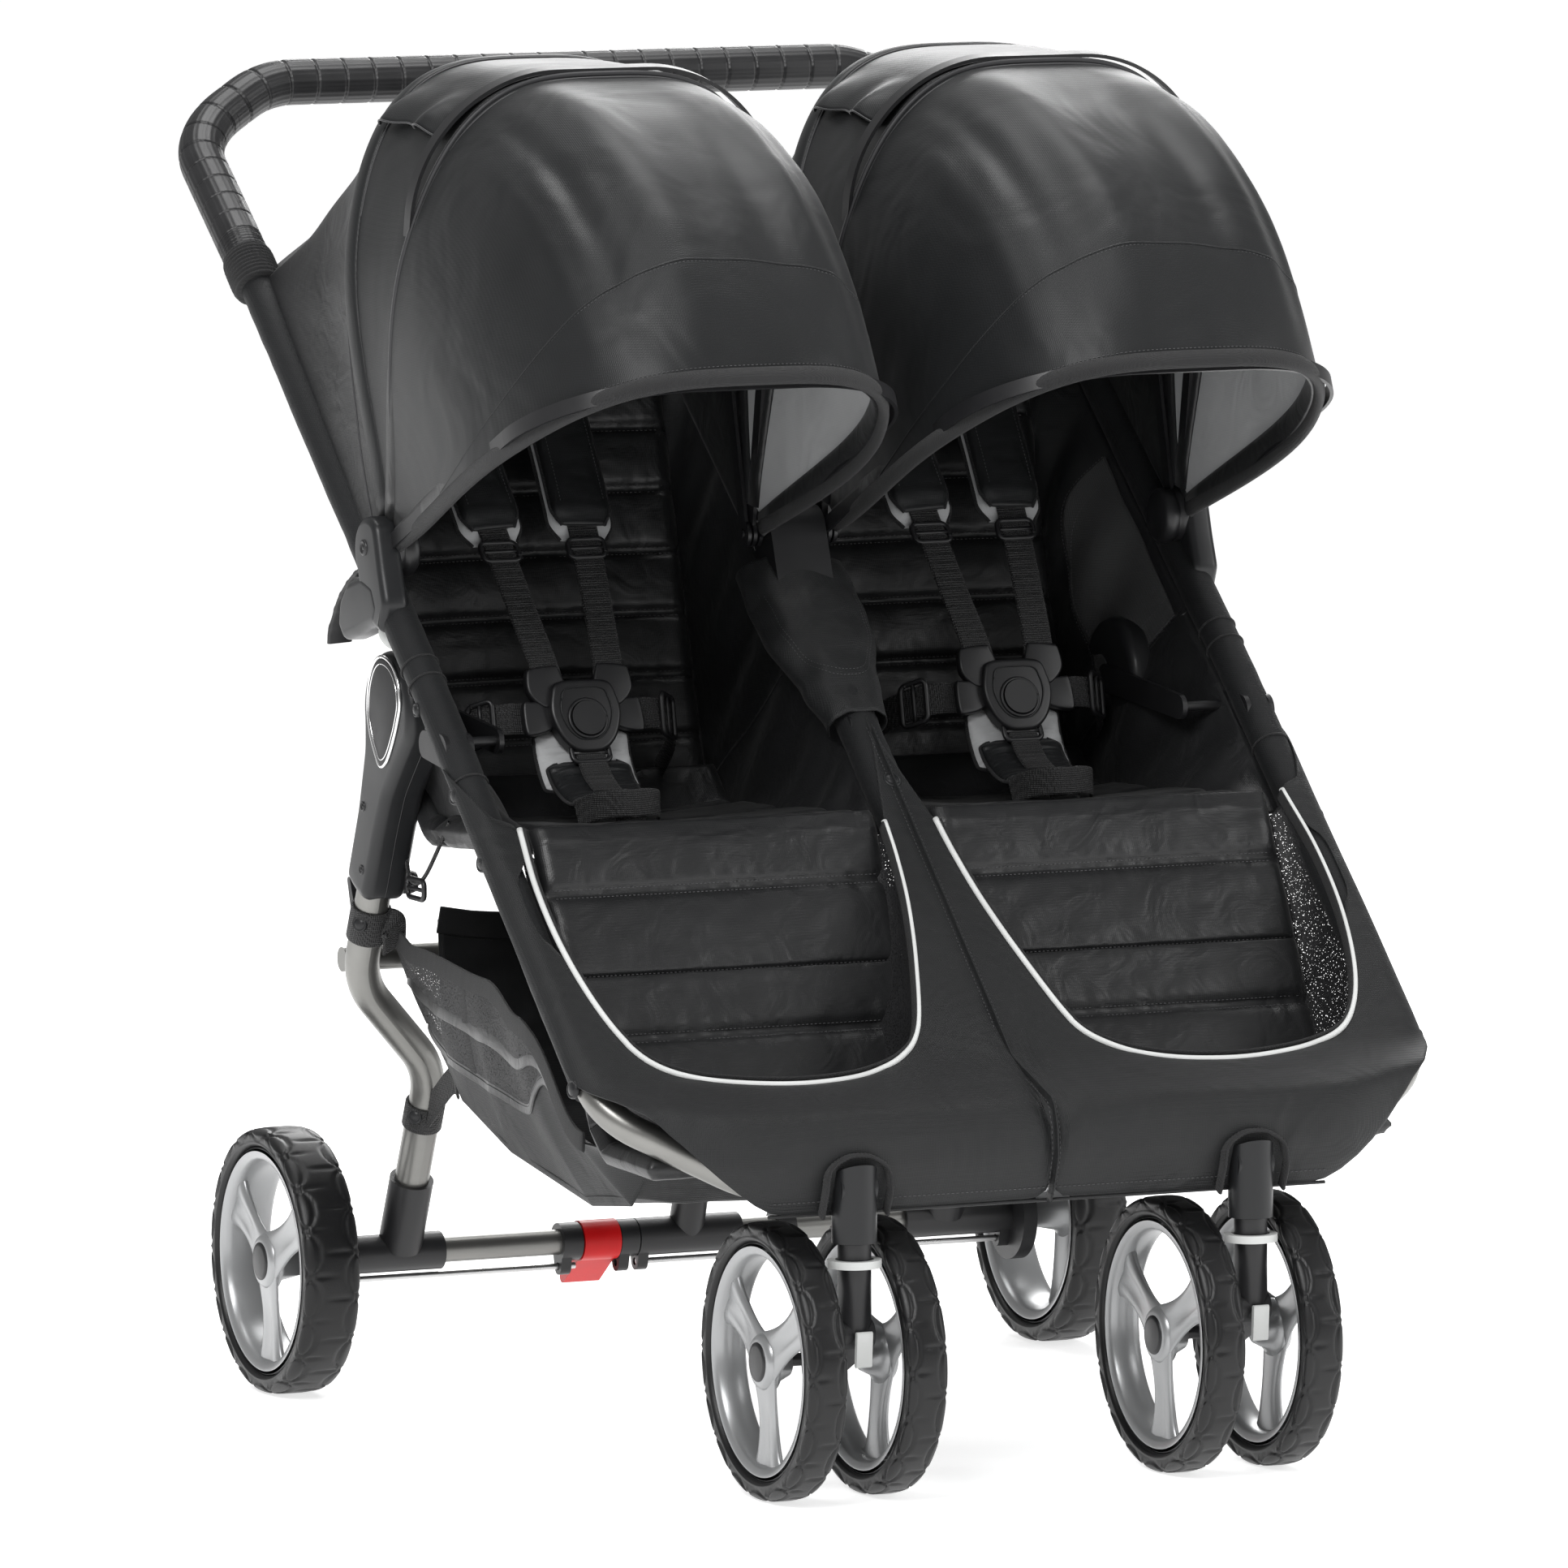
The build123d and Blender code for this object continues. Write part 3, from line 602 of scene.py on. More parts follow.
# ---------------------------------------------------------------- metal and plastic
NODE_LOOKS = {
    ALUMINIUM: ("rear_legs", "rear_axle", "rear_cross_tube", "centre_strut", "front_frame_tube"),
    COVER_PLASTIC: ("hinge_covers", "caster_sockets", "canopy_hinges_outer"),
    RED: ("brake_pedal",),
    STEEL: ("brake_rod_left", "brake_rod_right"),
    LIGHT_PLASTIC: ("swivel_lock_left", "swivel_lock_right", "wheel_release_left", "wheel_release_right"),
    PLASTIC: ("handle_tube", "centre_lower_tube", "centre_upper_tube", "axle_brackets",
              "lower_hinge_brackets",
              "upper_hinge_brackets", "canopy_hinge_centre", "canopy_rear_bows", "accessory_brackets",
              "fold_hook", "buckle_button_left", "buckle_button_right", "canopy_left_middle_bow",
              "canopy_right_middle_bow", "canopy_left_front_bow", "canopy_right_front_bow",
              "caster_fork_left", "caster_fork_right")}
for material, nodes in NODE_LOOKS.items():
    for node in nodes:
        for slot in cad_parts[node].material_slots:
            slot.material = material

# ---------------------------------------------------------------- handle
left_points = [(-TUBE_X, *upper(470)), (-TUBE_X, *upper(540)), (-335, 492, 1004), (-262, 514, 1046)]
handle_points = [at(*p) for p in left_points + mirrored(left_points)[::-1]]
handle_bends = [r / 1000 for r in (80, 76, 84, 84, 76, 80)]
HANDLE_STEPS = 1500
handle_line = rounded(handle_points, handle_bends, HANDLE_STEPS)
total = length_of(handle_line)
grip_from = 52 / 1000 / total
grip_line = handle_line[int(HANDLE_STEPS * grip_from):int(HANDLE_STEPS * (1 - grip_from))]
grip_length = length_of(grip_line) * 1000
RING_PITCH = 25.0
CUFF_LENGTH = 30


def grip_scale(t):
    """The grip's thickness along it: a cuff at each end, then rings with narrow gaps between them."""
    along = t * grip_length
    end = min(along, grip_length - along)
    if end < CUFF_LENGTH:
        return 0.97 + 0.03 * math.sin(end * 2.2)
    part = (end - CUFF_LENGTH) % RING_PITCH
    near = min(part, RING_PITCH - part)
    return 1.0 - 0.07 * math.exp(-(near / 0.9) ** 2) - 0.012 * (near / RING_PITCH - 0.5) ** 2


grip_section = []
for i in range(96):
    angle = 2 * math.pi * i / 96
    reach = 0.0188 - 0.00035 * (math.sin(angle * 24) > 0.55)
    grip_section.append((reach * math.cos(angle), reach * math.sin(angle)))
grip = sweep("handle_grip_rings", grip_line, grip_section, GRIP, "handle_frame", scale=grip_scale)
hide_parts("handle_grip")
for label, side in SIDES:
    cuff_path = handle_line[int(HANDLE_STEPS * (grip_from - 0.02)):int(HANDLE_STEPS * (grip_from + 0.012))]
    if side > 0:
        cuff_path = [Vector((-p.x, p.y, p.z)) for p in cuff_path]
    sweep(f"handle_cuff_{label}", cuff_path, ring_section(0.0205, 40), BINDING, "handle_frame",
          scale=lambda t: 1 + 0.035 * math.sin(t * 60) - 0.1 * abs(2 * t - 1) ** 6)


# ---------------------------------------------------------------- canopies
BOW_WIDE, BOW_FOOT, BOW_HUB = 175.0, 156.0, 24.0


def bow_point(centre_x, angle, t, reach, wide=BOW_WIDE):
    """A place on a bow: t runs 0 to 1 from the outer-left foot over the top to the right foot."""
    a = math.pi * (1 - t)
    c, s = math.cos(a), math.sin(a)
    share = abs(s) ** (2 / 2.7)
    width = mix(BOW_FOOT, wide, smooth(share * 1.6))
    x = math.copysign(abs(c) ** (2 / 3.2), c) * width
    y, z = polar(*CANOPY, angle, BOW_HUB + (reach - BOW_HUB) * share)
    return at(centre_x + x, y, z)


def visor_edge_angle(t):
    """The front edge dips lower at its middle than at its feet."""
    return 157.0 + 4.5 * (1 - math.sin(math.pi * t)) ** 1.5


# Soft folds that run down the visor: where across it, how wide, and how high in millimetres.
VISOR_FOLDS = ((0.46, 0.030, 7.5), (0.53, 0.028, -6.5), (0.60, 0.02, 4.0), (0.66, 0.018, 5.5),
               (0.70, 0.016, -5.0), (0.38, 0.022, -4.0), (0.31, 0.02, 3.5), (0.76, 0.014, 3.6))


def hood_surface(centre_x, low, high, low_reach, high_reach, sag, folds=0.0, seed=0.0):
    """A stretched section between two bows, hollowed a little between them."""
    def place(u, v):
        top = high if not callable(high) else high(v)
        angle = mix(low, top, u)
        pull = math.sin(math.pi * v)
        reach = mix(low_reach, high_reach, u) - sag * math.sin(math.pi * u) * pull
        wide = BOW_WIDE - 0.35 * sag * math.sin(math.pi * u)
        lift = 0.0
        if folds:
            mid = math.sin(math.pi * min(1.0, u * 1.05)) ** 0.8
            for where, width, depth in VISOR_FOLDS:
                lean = where + 0.05 * (u - 0.5)
                lift += depth * bump_at(v, lean, width) * mid * folds
            lift += 2.0 * noise.noise(Vector((u * 3 + seed, v * 9, seed))) * mid
            lift += 1.2 * noise.noise(Vector((u * 7, v * 22, seed))) * mid
        else:
            lift += 1.6 * noise.noise(Vector((u * 2 + seed, v * 8, seed))) * math.sin(math.pi * u)
        return bow_point(centre_x, angle, v, reach + lift, wide + lift * 0.3)
    return place


REAR_ANGLE, MIDDLE_ANGLE = 76.0, 101.0
REAR_REACH, MIDDLE_REACH, FRONT_REACH = 387, 379, 402


def turn_blend(piece, body_a, body_b):
    """Bakes a piece's placement into its mesh; it is not blended across the canopy joint."""
    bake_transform(piece)


def top_blend(piece, middle_body):
    turn_blend(piece, "handle_frame", middle_body)


def visor_blend(piece, middle_body, front_body):
    turn_blend(piece, middle_body, front_body)


for label, side in SIDES:
    cx = side * CANOPY_X
    middle_body, front_body = f"middle_bow_{label}", f"front_bow_{label}"
    # Rear section, from the rear bow forward to the middle bow's piping.
    top_of = hood_surface(cx, REAR_ANGLE, MIDDLE_ANGLE, REAR_REACH, MIDDLE_REACH, 5, seed=side)
    rear = cloth_grid(f"canopy_{label}_top", top_of, 26, 120, LINING, None, inner=SATIN, side=-1)
    top_blend(rear, middle_body)
    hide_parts(f"canopy_{label}_middle_panel")
    # Visor, from the middle bow down to the front bow.
    visor_of = hood_surface(cx, MIDDLE_ANGLE, visor_edge_angle, MIDDLE_REACH, FRONT_REACH, -3, folds=1.0,
                            seed=side * 2.0)
    visor = cloth_grid(f"canopy_{label}_visor_cloth", visor_of, 70, 170, LINING, None, inner=SATIN, side=-1)
    visor_blend(visor, middle_body, front_body)
    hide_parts(f"canopy_{label}_visor")

    def along_bow(angle, reach, first=0.0, last=1.0, count=150, wide=BOW_WIDE):
        pick = angle if callable(angle) else (lambda t: angle)
        steps = [mix(first, last, i / (count - 1)) for i in range(count)]
        return [bow_point(cx, pick(t), t, reach, wide) for t in steps]

    # Rear bow in its cloth sleeve, with a seam on its front side.
    sweep(f"canopy_{label}_rear_sleeve", along_bow(REAR_ANGLE - 0.4, 388.5, count=170),
          ring_section(0.0062, 16),
          SATIN, "handle_frame", hint=(0, 1, 0), scale=lambda t: (1.9, 0.72))
    cord_tube(f"canopy_{label}_rear_seam", along_bow(REAR_ANGLE + 1.9, 388.2), 0.0011, PIPING_BLACK,
              "handle_frame")
    # Middle bow: a round piping with a flat seam beside it.
    cord_tube(f"canopy_{label}_piping", along_bow(MIDDLE_ANGLE, 381.5), 0.0026, PIPING_BLACK, middle_body, 12)
    cord_tube(f"canopy_{label}_piping_seam", along_bow(MIDDLE_ANGLE + 1.1, 380.3), 0.0012, PIPING_BLACK,
              middle_body)
    # Front edge: ribbed binding round the bow.
    edge = along_bow(visor_edge_angle, 402.5, count=220)
    sweep(f"canopy_{label}_binding", edge, ring_section(0.0048, 16), BINDING, front_body, hint=(0, 1, 0),
          scale=lambda t: (1.55, 0.95))
    stitches(f"canopy_{label}_binding_stitch",
             along_bow(lambda t: visor_edge_angle(t) - 1.25, 404.0, 0.03, 0.97), front_body, 3.6, 2.2, 0.3)

    # The stitched seam that curves across the visor.
    def seam_angle(t):
        return visor_edge_angle(t) - 1.5 - 13.0 * math.sin(math.pi * t) ** 1.2
    centre = at(cx, *CANOPY)
    seam = []
    for i in range(160):
        t = mix(0.06, 0.94, i / 159)
        u = (seam_angle(t) - MIDDLE_ANGLE) / (visor_edge_angle(t) - MIDDLE_ANGLE)
        p = visor_of(u, t)
        seam.append(p + (p - centre).normalized() * 0.0013)
    ridge = cord_tube(f"canopy_{label}_seam_ridge", seam, 0.0008, SATIN, None, 6)
    visor_blend(ridge, middle_body, front_body)
    below_seam = [p + Vector((0, -0.0012, -0.0018)) for p in seam]
    seam_thread = stitches(f"canopy_{label}_seam_thread", below_seam, None, 3.4, 2.2, 0.28)
    visor_blend(seam_thread, middle_body, front_body)

    # Black bow sleeves seen against the grey lining.
    for name, angle, reach, body in (("middle", MIDDLE_ANGLE, 373, middle_body),
                                     ("front", 156, 396, front_body),
                                     ("rear", REAR_ANGLE, 382, "handle_frame")):
        path = along_bow(angle, reach, count=120, wide=171)
        sweep(f"canopy_{label}_{name}_lining_sleeve", path, ring_section(0.006, 12), SEAT_CLOTH, body,
              hint=(0, 1, 0),
              scale=lambda t: (1.8, 0.6))

    # Peekaboo flap: a loose cover over the rear section's window, with a scalloped front hem.
    def flap(u, v):
        t = mix(0.30, 0.66, v)
        reach_in = 0.08 + 0.84 * u
        hang = 1.0 - smooth(v * 4)
        p = top_of(min(0.97, reach_in), t)
        out = (p - centre).normalized()
        lift = 0.0025 + 0.007 * hang * (0.4 + 0.6 * math.sin(u * 7.0) ** 2) + 0.002 * math.sin(u * 19) * hang
        return p + out * lift + Vector((-0.010 * hang * (0.5 + 0.5 * math.sin(u * 11)), 0, 0))
    cover = cloth_grid(f"canopy_{label}_flap", flap, 30, 60, SATIN, None, thick=0.001)
    top_blend(cover, middle_body)
    hem = cord_tube(f"canopy_{label}_flap_hem", [flap(i / 40, 0.0) for i in range(41)], 0.0008,
                    PIPING_BLACK, None, 8)
    top_blend(hem, middle_body)

    # Rear drape: from the rear bow down to the side tubes and the top of the backrest.

    def drape_edge(v):
        """The lower line: up the outer tube, across behind the backrest, and down the middle."""
        t = v if side < 0 else 1 - v
        rows = ((0.0, -350, 46, 690), (0.36, -345, 320, 893), (0.44, -322, 340, 908), (0.66, -60, 338, 905),
                (0.74, -24, 312, 884), (1.0, -30, 48, 690))
        x, y, z = lookup(rows, t)
        return at(x if side < 0 else -x, y, z)

    def drape(u, v):
        p = bow_point(cx, REAR_ANGLE, v, REAR_REACH).lerp(drape_edge(v), u)
        away = (p - at(cx, 150, 780)).normalized()
        pull = math.sin(math.pi * u) * (0.4 + 0.6 * math.sin(math.pi * v))
        crease = wrinkle(p + Vector((side, 0, 0)), 14, 0.004)
        return p - away * 0.010 * pull + away * crease * math.sin(math.pi * u)
    rear_cloth = cloth_grid(f"canopy_{label}_drape", drape, 34, 120, SEAT_CLOTH, "handle_frame")
    if side < 0:
        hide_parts("canopy_rear_panels")
    # The curved seam on its outer side.
    curve = []
    for i in range(60):
        t = i / 59
        u = 0.14 + 0.75 * (1 - t) ** 2
        v = 0.06 + 0.26 * t
        curve.append(drape(min(0.93, u), v if side < 0 else 1 - v) + Vector((side * 0.0012, 0, 0)))
    cord_tube(f"canopy_{label}_drape_seam", curve, 0.0009, PIPING_BLACK, "handle_frame", 8)


# ---------------------------------------------------------------- frame cloth and foot cover
def sleeve_path(places, count):
    return curve_through([at(*p) for p in places], count)


def hoop(centre, first, second, radius):
    """A closed ring of points about a centre, in the plane of two directions, in metres."""
    turns = [2 * math.pi * i / 48 for i in range(49)]
    return [centre + (first * math.cos(a) + second * math.sin(a)) * radius for a in turns]


def fold_blend(piece, x, reach):
    """Bakes a piece's placement into its mesh; the places a distance above and below the fold are worked out
    but not used.
    """
    at(x, *upper(reach))
    at(x, *front(reach))
    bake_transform(piece)


ACROSS = Vector((1, 0, 0))
for label, side in (*SIDES, ("centre", 0)):
    x = side * TUBE_X
    top_along = 512 if side else 200
    low_along = 385
    places = [(x, *upper(a, 20 if a > 60 else 20.5)) for a in (top_along, 420, 330, 240, 150, 90, 55, 25)]
    if side == 0:
        places = [(x, *upper(a)) for a in (118, 90, 55, 25)]
    places += [(x, *front(a)) for a in (0, 35, 80, 140, 220, 300, low_along)]
    path = sleeve_path(places, 160 if side else 110)

    def swell(t, seed=side):
        coarse, fine = Vector((t * 14, seed, 0)), Vector((t * 60, seed, 1))
        return 1 + 0.05 * noise.noise(coarse) + 0.02 * noise.noise(fine)
    radius = 0.0145 if side else 0.0165
    sleeve = sweep(f"frame_sleeve_{label}", path, ring_section(radius, 36), SLEEVE, None, hint=(1, 0, 0),
                   scale=swell)
    fold_blend(sleeve, x, 34)
    if side:
        # The seam along the underside, and the thin rings at the fold.
        line = sleeve_path([(x + side * 3, y, z - 14.6) for (_, y, z) in places[4:]], 150)
        seam = stitches(f"frame_sleeve_seam_{label}", line, None, 3.4, 2.2, 0.3)
        fold_blend(seam, x, 34)
        for k, (along, on_front) in enumerate(((44, False), (64, False), (66, True))):
            spot = front(along) if on_front else upper(along)
            slope = math.radians(FRONT_SLOPE if on_front else UPPER_SLOPE)
            body = "front_frame" if on_front else "handle_frame"
            loop = hoop(at(x, *spot), ACROSS, Vector((0, -math.sin(slope), math.cos(slope))), 0.0152)
            cord_tube(f"sleeve_ring_{label}_{k}", loop, 0.0009, BINDING, body, 8)


def snap(name, x, y, z, normal, body, radius=7.5):
    """A domed press stud: a rim, a groove and a dome, facing along a direction."""
    profile = [(0.1, 2.6), (2.2, 2.5), (4.2, 2.1), (5.0, 1.3), (5.6, 1.2), (6.3, 1.8), (7.0, 1.6),
               (7.5, 0.6), (7.5, -1.0)]
    normal = Vector(normal).normalized()
    side_dir = normal.orthogonal().normalized()
    other = normal.cross(side_dir)
    verts = []
    for i in range(32):
        a = 2 * math.pi * i / 32
        for reach, rise in profile:
            verts.append(at(x, y, z) + (side_dir * math.cos(a) + other * math.sin(a)) * reach * radius / 7500
                         + normal * rise / 1000)
    return build(name, verts, grid_faces(32, len(profile), wrap_rows=True), COVER_PLASTIC, body)


for label, side in SIDES:
    for k, along in enumerate((74, 146, 383)):
        y, z = front(along)
        snap(f"frame_snap_{label}_{k}", side * (TUBE_X + 14.4), y, z, (side, -0.1, 0.1), "front_frame")
    y, z = upper(24, 14)
    snap(f"fold_rivet_{label}", side * (TUBE_X + 14), y, z, (side, 0, 0), "handle_frame", 5.5)
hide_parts("frame_snaps")


def boot_height(x, along):
    """How far the foot cover stands above the fold line: tight over the tubes, slack between them."""
    side = abs(x)
    near_tube = bump_at(side, TUBE_X, 26) + bump_at(side, 0, 30)
    slack = smooth((side - 20) / 90) * smooth((TUBE_X - side) / 90)
    sunk = 7 * slack * smooth((along - 60) / 120) * smooth((480 - along) / 120)
    return 35.5 + 0.6 * min(1.0, near_tube) - sunk


OPENING = ((328, 128), (334, 190), (333, 251), (325, 306), (312, 348), (292, 380), (262, 397), (217, 406),
           (172, 408), (125, 402), (90, 386), (66, 355), (46, 290), (32, 228), (25, 178), (22, 140))


def opening_curve(count):
    """The edge of one leg opening as (x, along), from its outer top corner round to the inner one."""
    line = curve_through([Vector((x, a, 0)) for x, a in OPENING], count)
    return [(p.x, p.y) for p in line]


HEM_TURN = ((0.0, *front(352, 35.5)), (45.0, *front(394, 35.5)), (92.0, -449.5, 303), (118.0, -456.5, 284),
            (140.0, -457.5, 263), (165.0, -450.0, 240), (181.0, -443.0, 226))


HEM_FROM = 352                   # how far down the cover starts to turn over the front bar
HEM_END = 532                    # how far down its hem is


def on_boot(side, x, along, lift=0.0):
    """A place on the foot cover; low down it wraps over the front bar."""
    if along < HEM_FROM:
        y, z = front(along, boot_height(x, along) + lift)
        return at(side * x, y, z)
    for low, high in zip(HEM_TURN, HEM_TURN[1:]):
        if along - HEM_FROM <= high[0] or high is HEM_TURN[-1]:
            part = (along - HEM_FROM - low[0]) / (high[0] - low[0])
            y, z = mix(low[1], high[1], part), mix(low[2], high[2], part)
            break
    slack = boot_height(x, along) - 35.5
    corner = smooth((x - 240) / 110) * smooth((along - 396) / 70)
    away = smooth((along - HEM_FROM) / 60)
    y_out, z_out = polar(y, z, mix(FRONT_SLOPE + 90, 180, away), slack * (1 - away) + lift - 0.5)
    return at(side * x, y_out + 34 * corner, z_out + 10 * corner)


CORNER_EDGE = ((384, 361.0), (405, 354.0), (425, 343.0), (462, 318.0), (490, 290.0), (512, 263.0),
               (533, 236.0))


def outer_edge(along):
    """How far out the cover reaches: round the side tube, then in at the corner."""
    if along < 384:
        return 361.0
    return lookup(CORNER_EDGE, along)[0]


def boot_panel(side):
    """The cover's cloth on one side, built in strips between the opening and the borders."""
    edge = opening_curve(90)
    rows, columns = 30, len(edge)
    verts = []
    for i in range(rows):
        t = i / (rows - 1)
        for j, (x, along) in enumerate(edge):
            share = j / (columns - 1)
            # The border point that this edge point spreads out to.
            if share < 0.36:
                far_along = mix(40, 400, share / 0.36)
                far = (outer_edge(far_along), far_along)
            elif share < 0.80:
                s = (share - 0.36) / 0.44
                if s < 0.3:
                    far_along = mix(400, HEM_END, s / 0.3)
                    far = (outer_edge(far_along), far_along)
                else:
                    far = (mix(outer_edge(HEM_END), 0.0, (s - 0.3) / 0.7), HEM_END)
            else:
                far = (0.0, mix(HEM_END, 26, (share - 0.80) / 0.20))
            px, pa = mix(x, far[0], t), mix(along, far[1], t)
            p = on_boot(side, px, pa)
            if px > TUBE_X - 13 and pa < 425:
                # Round the side tube, letting go of it towards the corner.
                drop = min(1.0, (px - (TUBE_X - 13)) / 28)
                y, z = front(pa, 20 + 15.8 * math.cos(drop * math.pi / 2))
                wrapped = at(side * (TUBE_X + 15.8 * math.sin(drop * math.pi / 2)), y, z)
                p = p.lerp(wrapped, 1 - smooth((pa - 365) / 60))
            ripple = noise.noise(p * 11 + Vector((side, 0, 0))) * 0.0022 * math.sin(math.pi * t)
            verts.append(p + Vector(BOOT_NORMAL) * ripple)
    return verts, grid_faces(rows, columns)


def net_foot(t):
    """Where a net wall's lower edge runs, down beside the calf rest and along the floor."""
    return lookup(((0.0, -172, 478), (0.45, -240, 345), (0.72, -290, 268), (1.0, -400, 262)), t)


net_edge = opening_curve(120)
for label, side in SIDES:
    verts, faces = boot_panel(side)
    if side > 0:
        faces = [f[::-1] for f in faces]
    cover = build(f"foot_cover_{label}", verts, faces, BOOT, None)
    smooth_mod = cover.modifiers.new("relax", "SMOOTH")
    smooth_mod.iterations = 5
    smooth_mod.factor = 0.45
    apply_all(cover)
    for vertex, place in zip(cover.data.vertices, verts):
        if abs(place.x) < 0.0001:
            # The two halves meet on the middle line.
            vertex.co = place
    thicken(cover, 0.0014, 0)
    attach(cover, "front_frame")
    if side < 0:
        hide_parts("foot_cover")
    edge = opening_curve(150)
    rim_line = [on_boot(side, x, a, 1.6) for x, a in edge]
    cord_tube(f"opening_piping_{label}", rim_line, 0.0024, PIPING, "front_frame", 12)
    inner_line = [on_boot(side, mix(x, 180, 0.018), mix(a, 270, 0.022), 0.0) for x, a in edge]
    sweep(f"opening_binding_{label}", inner_line, flat_section(0.010, 0.0018), BINDING, "front_frame",
          hint=BOOT_NORMAL)

    # Net walls from the opening down to the calf rest and the floor.
    def net(u, v, side=side):
        x, a = net_edge[int(round(v * (len(net_edge) - 1)))]
        top = on_boot(side, x, a, -1.0)
        inner_x = mix(x, 172, 0.10 + 0.06 * math.sin(math.pi * v))
        y, z = net_foot(min(1.0, max(0.0, (a - 128) / 300)))
        low = at(side * inner_x, y, z)
        sag = math.sin(math.pi * u) * 0.006
        return top.lerp(low, u) + Vector((side * sag * (1 if x > 172 else -1), 0, 0))
    wall = cloth_grid(f"opening_net_{label}", net, 16, 120, MESH, "front_frame", thick=0.0006)


# ---------------------------------------------------------------- foot cover trims
middle_line = [on_boot(1, 0.0, mix(40, 531, i / 89), 0.9) for i in range(90)]
sweep("boot_middle_seam", middle_line, flat_section(0.009, 0.0012), BOOT, "front_frame",
      hint=BOOT_NORMAL)
for label, side in SIDES:
    beside = [p + Vector((side * 0.0032, 0, 0.0004)) for p in middle_line]
    stitches(f"boot_middle_stitch_{label}", beside, "front_frame", 4.0, 2.6, 0.25)
for label, side in SIDES:
    # Ribbed tape round the cut-out for the caster's socket.
    arch = [(-27, 226), (-27, 246), (-24, 262), (-12, 271), (0, 273), (12, 271), (24, 262), (27, 246),
            (27, 226)]
    line = curve_through([at(side * CASTER_X + a, -459.5 if z > 244 else -451, z) for a, z in arch], 90)
    sweep(f"socket_tape_{label}", line, flat_section(0.010, 0.003), BINDING, "front_frame", hint=(0, 1, 0),
          scale=lambda t: (1.0, 1.0 + 0.25 * math.sin(t * 300)))
    # The hem's turned edge, and a row of stitches above it.
    hem_line = [on_boot(side, mix(2, 236, i / 59), HEM_END, 0.2) for i in range(60)]
    cord_tube(f"boot_hem_{label}", hem_line, 0.0014, BOOT, "front_frame", 8)
    above_hem = [on_boot(side, mix(2, 236, i / 79), 520, 0.9) for i in range(80)]
    stitches(f"boot_hem_stitch_{label}", above_hem, "front_frame", 4.0, 2.6, 0.3)


# ---------------------------------------------------------------- seats
def quilt(name, place, rows, columns, channels, material, body, depth, thick, edge=0.04):
    """A padded panel with sewn channels across it. place(u, v) gives its middle surface; u runs along it."""
    verts = []
    eps = 1e-3
    layers = []
    for layer in (1, -1):
        for i in range(rows):
            for j in range(columns):
                u, v = i / (rows - 1), j / (columns - 1)
                p = place(u, v)
                du = place(min(1, u + eps), v) - place(max(0, u - eps), v)
                dv = place(u, min(1, v + eps)) - place(u, max(0, v - eps))
                n = du.cross(dv).normalized()
                near = min(abs(u - c) for c in channels)
                rim_u = smooth(min(u, 1 - u) / edge)
                rim_v = smooth(min(v, 1 - v) / edge)
                puff = (thick / 2) * (0.15 + 0.85 * min(rim_u, rim_v) ** 0.5) * 1.12
                puff -= depth * (math.exp(-(near / 0.010) ** 2) + 0.35 * math.exp(-(near / 0.035) ** 2))
                pucker = noise.noise(Vector((u * 30, v * 16, layer + thick * 100))) * 0.0006
                pucker += noise.noise(Vector((u * 9, v * 6, layer * 3.1))) * 0.0014
                ripple = math.exp(-(near / 0.03) ** 2) * noise.noise(Vector((v * 60, u * 6, 5.0))) * 0.0016
                verts.append(p + n * layer * (max(0.0006, puff) + (pucker + ripple) * rim_u * rim_v))
        layers.append(grid_faces(rows, columns, start=(0 if layer > 0 else rows * columns)))
    faces = layers[0] + [f[::-1] for f in layers[1]]
    offset = rows * columns
    for i in range(rows - 1):
        for j, flip in ((0, False), (columns - 1, True)):
            a, b = i * columns + j, (i + 1) * columns + j
            quad = (a, b, b + offset, a + offset)
            faces.append(quad if not flip else quad[::-1])
    for j in range(columns - 1):
        for i, flip in ((0, True), (rows - 1, False)):
            a, b = i * columns + j, i * columns + j + 1
            quad = (a, b, b + offset, a + offset)
            faces.append(quad if not flip else quad[::-1])
    return build(name, verts, faces, material, body)


def across_line(place, u, lift):
    """A line across a panel at one height, lifted off its middle surface."""
    out = []
    for i in range(80):
        v = mix(0.03, 0.97, i / 79)
        p = place(u, v)
        n = (place(min(1, u + 0.001), v) - place(max(0, u - 0.001), v)).cross(
            place(u, min(1, v + 0.001)) - place(u, max(0, v - 0.001))).normalized()
        out.append(p + n * lift)
    return out


def channel_stitches(prefix, place, channels, apart, lift, body):
    """A row of stitches along each side of a panel's sewn channels."""
    for k, c in enumerate(channels):
        for row, du in enumerate((-apart, apart)):
            stitches(f"{prefix}_{k}_{row}", across_line(place, c + du, lift), body, 3.6, 2.4, 0.42)


def seat_x(side, near, far, v):
    """Across a seat, from the stroller's left to its right on both sides."""
    return mix(near, far, v) if side > 0 else -mix(far, near, v)


def recline_blend(piece):
    """Bakes a piece's placement into its mesh; it is not blended in to the reclining seat back."""
    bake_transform(piece)


